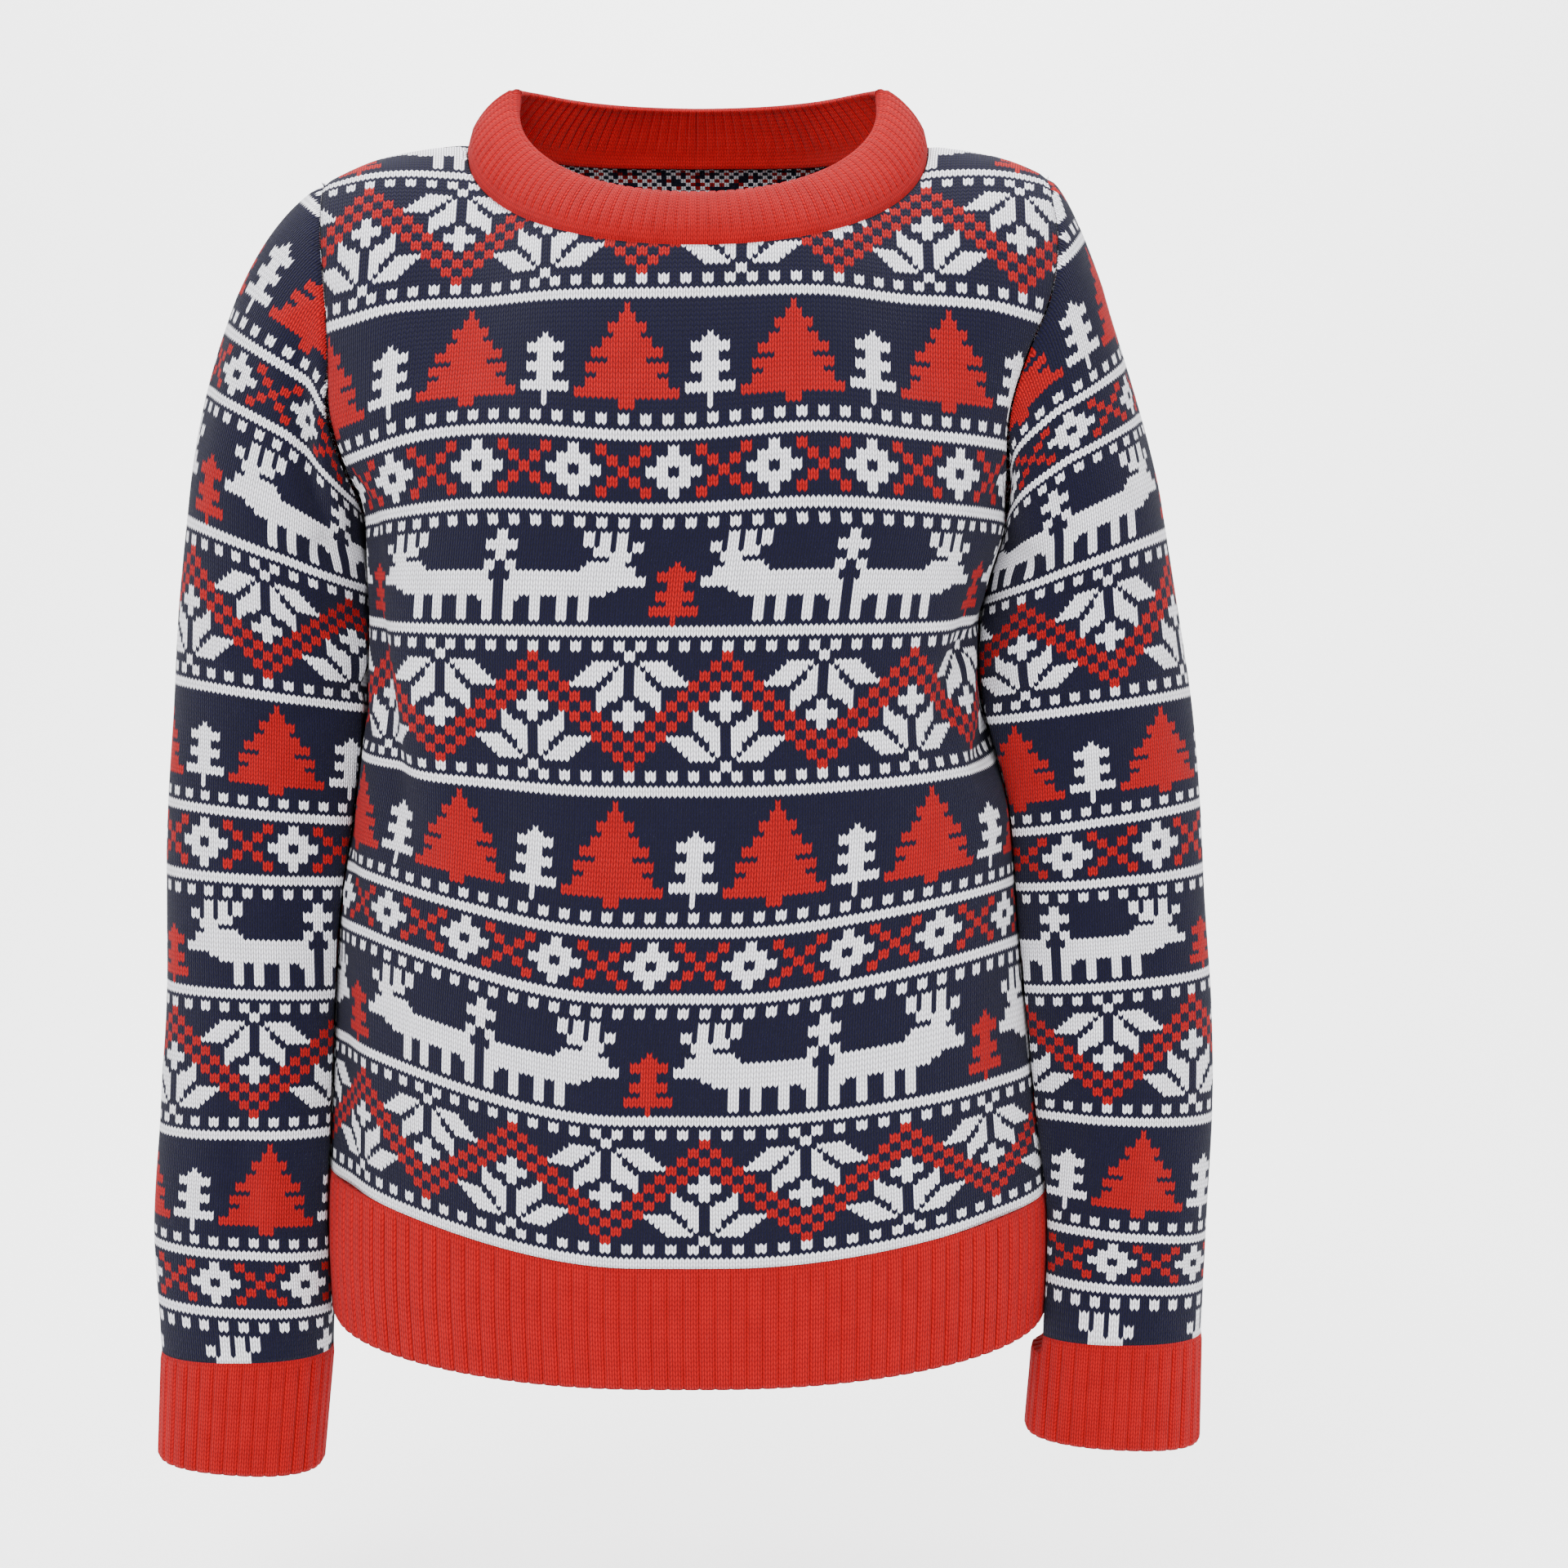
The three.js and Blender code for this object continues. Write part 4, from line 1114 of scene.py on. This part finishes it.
# %% Shape of a stitch
def stitch_group():
    group, inside, out = new_group(
        "Knitted V", [("Stitches", VECTOR), ("Dip", NUMBER)], [("Below", NUMBER), ("Strand", NUMBER)]
    )
    split = group.nodes.new("ShaderNodeSeparateXYZ")
    group.links.new(inside.outputs["Stitches"], split.inputs[0])
    across = calc(group, "FRACT", split.outputs[0])
    up = calc(group, "FRACT", split.outputs[1])
    aside = calc(group, "ABSOLUTE", calc(group, "MULTIPLY_ADD", across, 2.0, -1.0))
    dip = calc(group, "MULTIPLY", aside, inside.outputs["Dip"])
    group.links.new(calc(group, "LESS_THAN", up, dip), out.inputs["Below"])
    along = calc(group, "FRACT", calc(group, "SUBTRACT", up, dip))
    round_over = calc(group, "SINE", calc(group, "MULTIPLY", aside, math.pi))
    ends = calc(group, "SINE", calc(group, "MULTIPLY", along, math.pi))
    strand = calc(group, "POWER", calc(group, "MAXIMUM", round_over, 0.0), 0.6)
    tip = calc(group, "POWER", calc(group, "MAXIMUM", ends, 0.0), 0.3)
    group.links.new(calc(group, "MULTIPLY", strand, tip), out.inputs["Strand"])
    return group


def fibre_group():
    """Soft fibres and the small unevenness of spun yarn."""
    group, inside, out = new_group("Yarn fibres", [("Place", VECTOR)], [("Fuzz", NUMBER), ("Tone", NUMBER)])
    fine = group.nodes.new("ShaderNodeTexNoise")
    fine.inputs["Scale"].default_value = 1500.0
    fine.inputs["Detail"].default_value = 2.0
    group.links.new(inside.outputs["Place"], fine.inputs["Vector"])
    broad = group.nodes.new("ShaderNodeTexNoise")
    broad.inputs["Scale"].default_value = 90.0
    group.links.new(inside.outputs["Place"], broad.inputs["Vector"])
    group.links.new(fine.outputs[0], out.inputs["Fuzz"])
    group.links.new(broad.outputs[0], out.inputs["Tone"])
    return group


KNITTED_V, FIBRES, SPECKLED = stitch_group(), fibre_group(), speckled_group()

# %% [markdown]
# Wool scatters light at its surface, so the finish is rough with a little sheen. The navy is the
# ground, red and white are the pattern. Linear values are used, as Blender's colour sockets expect.

# %% Yarn colours and materials
NAVY = (0.0036, 0.0034, 0.019, 1)
RED = (0.34, 0.0, 0.002, 1)
WHITE = (0.88, 0.87, 0.93, 1)
# Painted shade: the yarn's colour is darkened in the grooves between the strands, where shade falls; this is the share
# of it left there.
PAINTED_GROOVE_SHADE = 0.24  # how dark the grooves between the strands are


def group_node(tree, group):
    node = tree.nodes.new("ShaderNodeGroup")
    node.node_tree = group
    return node


def yarn_colour(tree, number):
    """Navy, red or white for 0, 1 or 2."""
    red = mix_colour(tree, calc(tree, "GREATER_THAN", number, 0.5), NAVY, RED)
    return mix_colour(tree, calc(tree, "GREATER_THAN", number, 1.5), red, WHITE)


def face_value(tree, name):
    node = tree.nodes.new("ShaderNodeAttribute")
    node.attribute_name = name
    return node.outputs["Fac"]


def knit_material(name, dip, depth, colour):
    """colour is one yarn's colour, "pattern" where the faces hold the yarns, or "speckled"."""
    material = bpy.data.materials.new(name)
    material.use_nodes = True
    tree = material.node_tree
    shader = tree.nodes["Principled BSDF"]
    uv = tree.nodes.new("ShaderNodeUVMap")
    uv.uv_map = "stitches"
    place = tree.nodes.new("ShaderNodeTexCoord")
    knit = group_node(tree, KNITTED_V)
    knit.inputs["Dip"].default_value = dip
    tree.links.new(uv.outputs[0], knit.inputs["Stitches"])
    fibres = group_node(tree, FIBRES)
    tree.links.new(place.outputs["Object"], fibres.inputs["Place"])
    if colour == "speckled":
        yarns = group_node(tree, SPECKLED)
        tree.links.new(uv.outputs[0], yarns.inputs["Stitches"])
        dark = mix_colour(tree, yarns.outputs["Red"], NAVY, RED)
        colour = mix_colour(tree, yarns.outputs["White"], dark, WHITE)
    elif colour == "pattern":
        own, below = face_value(tree, "yarn"), face_value(tree, "yarn_below")
        number = calc(
            tree,
            "ADD",
            calc(tree, "MULTIPLY", own, calc(tree, "SUBTRACT", 1.0, knit.outputs["Below"])),
            calc(tree, "MULTIPLY", below, knit.outputs["Below"]),
        )
        colour = yarn_colour(tree, number)
    # Painted shade: the strand's relief darkens the base colour in its grooves, and the yarn's random tone varies it a
    # little.
    light = calc(tree, "MULTIPLY_ADD", knit.outputs["Strand"], 1 - PAINTED_GROOVE_SHADE, PAINTED_GROOVE_SHADE)
    light = calc(tree, "MULTIPLY", light, calc(tree, "MULTIPLY_ADD", fibres.outputs["Tone"], 0.3, 0.86))
    shade = tree.nodes.new("ShaderNodeCombineColor")
    for socket in shade.inputs:
        tree.links.new(light, socket)
    tree.links.new(mix_colour(tree, 1.0, colour, shade.outputs[0], "MULTIPLY"), shader.inputs["Base Color"])
    shader.inputs["Roughness"].default_value = 0.95
    shader.inputs["Sheen Weight"].default_value = 0.03
    shader.inputs["Sheen Roughness"].default_value = 0.5
    shader.inputs["Specular IOR Level"].default_value = 0.12
    height = calc(tree, "MULTIPLY_ADD", fibres.outputs["Fuzz"], 0.25, knit.outputs["Strand"])
    bump = tree.nodes.new("ShaderNodeBump")
    bump.inputs["Strength"].default_value = 1.0
    bump.inputs["Distance"].default_value = depth
    tree.links.new(height, bump.inputs["Height"])
    tree.links.new(bump.outputs[0], shader.inputs["Normal"])
    return material


KNIT = knit_material("jacquard yarns", 0.62, 0.0009, "pattern")
RIB = knit_material("red rib yarn", 0.6, 0.0006, RED)
INSIDE = knit_material("inside of the knit", 0.5, 0.0009, "speckled")

for word in ("front", "back", "sleeve_left", "sleeve_right"):
    PIECES[word].data.materials.append(KNIT)
    PIECES[word].data.materials.append(INSIDE)
for word in ("hem_front", "hem_back", "cuff_left", "cuff_right", "neckband"):
    PIECES[word].data.materials.append(RIB)
    if word != "neckband":
        PIECES[word].data.materials.append(RIB)

# %% [markdown]
# Each piece stands for its solid in the frame: the solid is hidden, and the piece hangs from the frame's root.
# Each piece stands for its solid in the frame, which stays in the simulation for collision. The table also
# lists a sheet's cut: the flat size of the cloth before it was sewn into the garment.

# %% Pieces in the frame
CUTS = {
    "front": ("front_panel", (0.48, 0.67), 0.27),
    "back": ("back_panel", (0.48, 0.67), 0.29),
    "sleeve_left": ("sleeve_left", (0.35, 0.60), 0.165),
    "sleeve_right": ("sleeve_right", (0.35, 0.60), 0.165),
    "hem_front": ("hem_rib_front", (0.48, 0.066), None),
    "hem_back": ("hem_rib_back", (0.48, 0.066), None),
    "cuff_left": ("cuff_left", (0.25, 0.065), None),
    "cuff_right": ("cuff_right", (0.25, 0.065), None),
    "neckband": ("neckband", (0.70, 0.038), None),
}
for word, (node, flat, area) in CUTS.items():
    piece = PIECES[word]
    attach(piece, "root")
    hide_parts(node)

# %% [markdown]
# The picture is a plain product shot: the jumper hangs in the air in front of white, in soft light
# from all round with a larger source above on one side, so that ribs and creases show.

# %% Camera, floor and lights
camera = bpy.data.objects.new("camera", bpy.data.cameras.new("camera"))
bpy.context.scene.collection.objects.link(camera)
camera.location = (0.050, -1.519, -0.253)
camera.rotation_euler = (math.radians(90 - 4.118), 0, 0)
camera.data.lens = 62.5
camera.data.sensor_width = 36
bpy.context.scene.camera = camera

FLOOR_Z, WALL_Y, SWEEP = -0.86, 2.6, 1.2  # the floor sweeps up into a wall, without a corner
bm = bmesh.new()
bmesh.ops.create_grid(bm, x_segments=1, y_segments=160, size=4.5)
for v in bm.verts:
    along = v.co.y + 1.0
    turn = min(max((along - WALL_Y + SWEEP) / SWEEP, 0), math.pi / 2)
    rest = max(along - WALL_Y + SWEEP - SWEEP * math.pi / 2, 0)
    flat_y = min(along, WALL_Y - SWEEP)
    v.co = (v.co.x, flat_y + SWEEP * math.sin(turn), FLOOR_Z + SWEEP * (1 - math.cos(turn)) + rest)
for face in bm.faces:
    face.smooth = True
floor = object_from("floor", bm, 0)
pale = bpy.data.materials.new("pale floor")
pale.use_nodes = True
pale.node_tree.nodes["Principled BSDF"].inputs["Base Color"].default_value = (0.93, 0.93, 0.93, 1)
pale.node_tree.nodes["Principled BSDF"].inputs["Roughness"].default_value = 0.9
floor.data.materials.append(pale)


def area_light(name, place, aim, size, watts):
    lamp = bpy.data.lights.new(name, "AREA")
    lamp.size = size
    lamp.energy = watts
    holder = bpy.data.objects.new(name, lamp)
    holder.location = place
    holder.rotation_euler = (Vector(aim) - Vector(place)).to_track_quat("-Z", "Y").to_euler()
    bpy.context.scene.collection.objects.link(holder)


area_light("key", (-0.9, -2.0, 1.1), (0, 0, -0.35), 1.4, 84)
area_light("fill", (1.7, -1.7, 0.2), (0, 0, -0.4), 1.6, 32)
area_light("wall", (0.0, 0.6, 2.2), (0, 2.4, 0.0), 2.0, 260)
world = bpy.data.worlds.new("white studio")
world.use_nodes = True
world.node_tree.nodes["Background"].inputs["Color"].default_value = (1, 1, 1, 1)
world.node_tree.nodes["Background"].inputs["Strength"].default_value = 1.6
bpy.context.scene.world = world
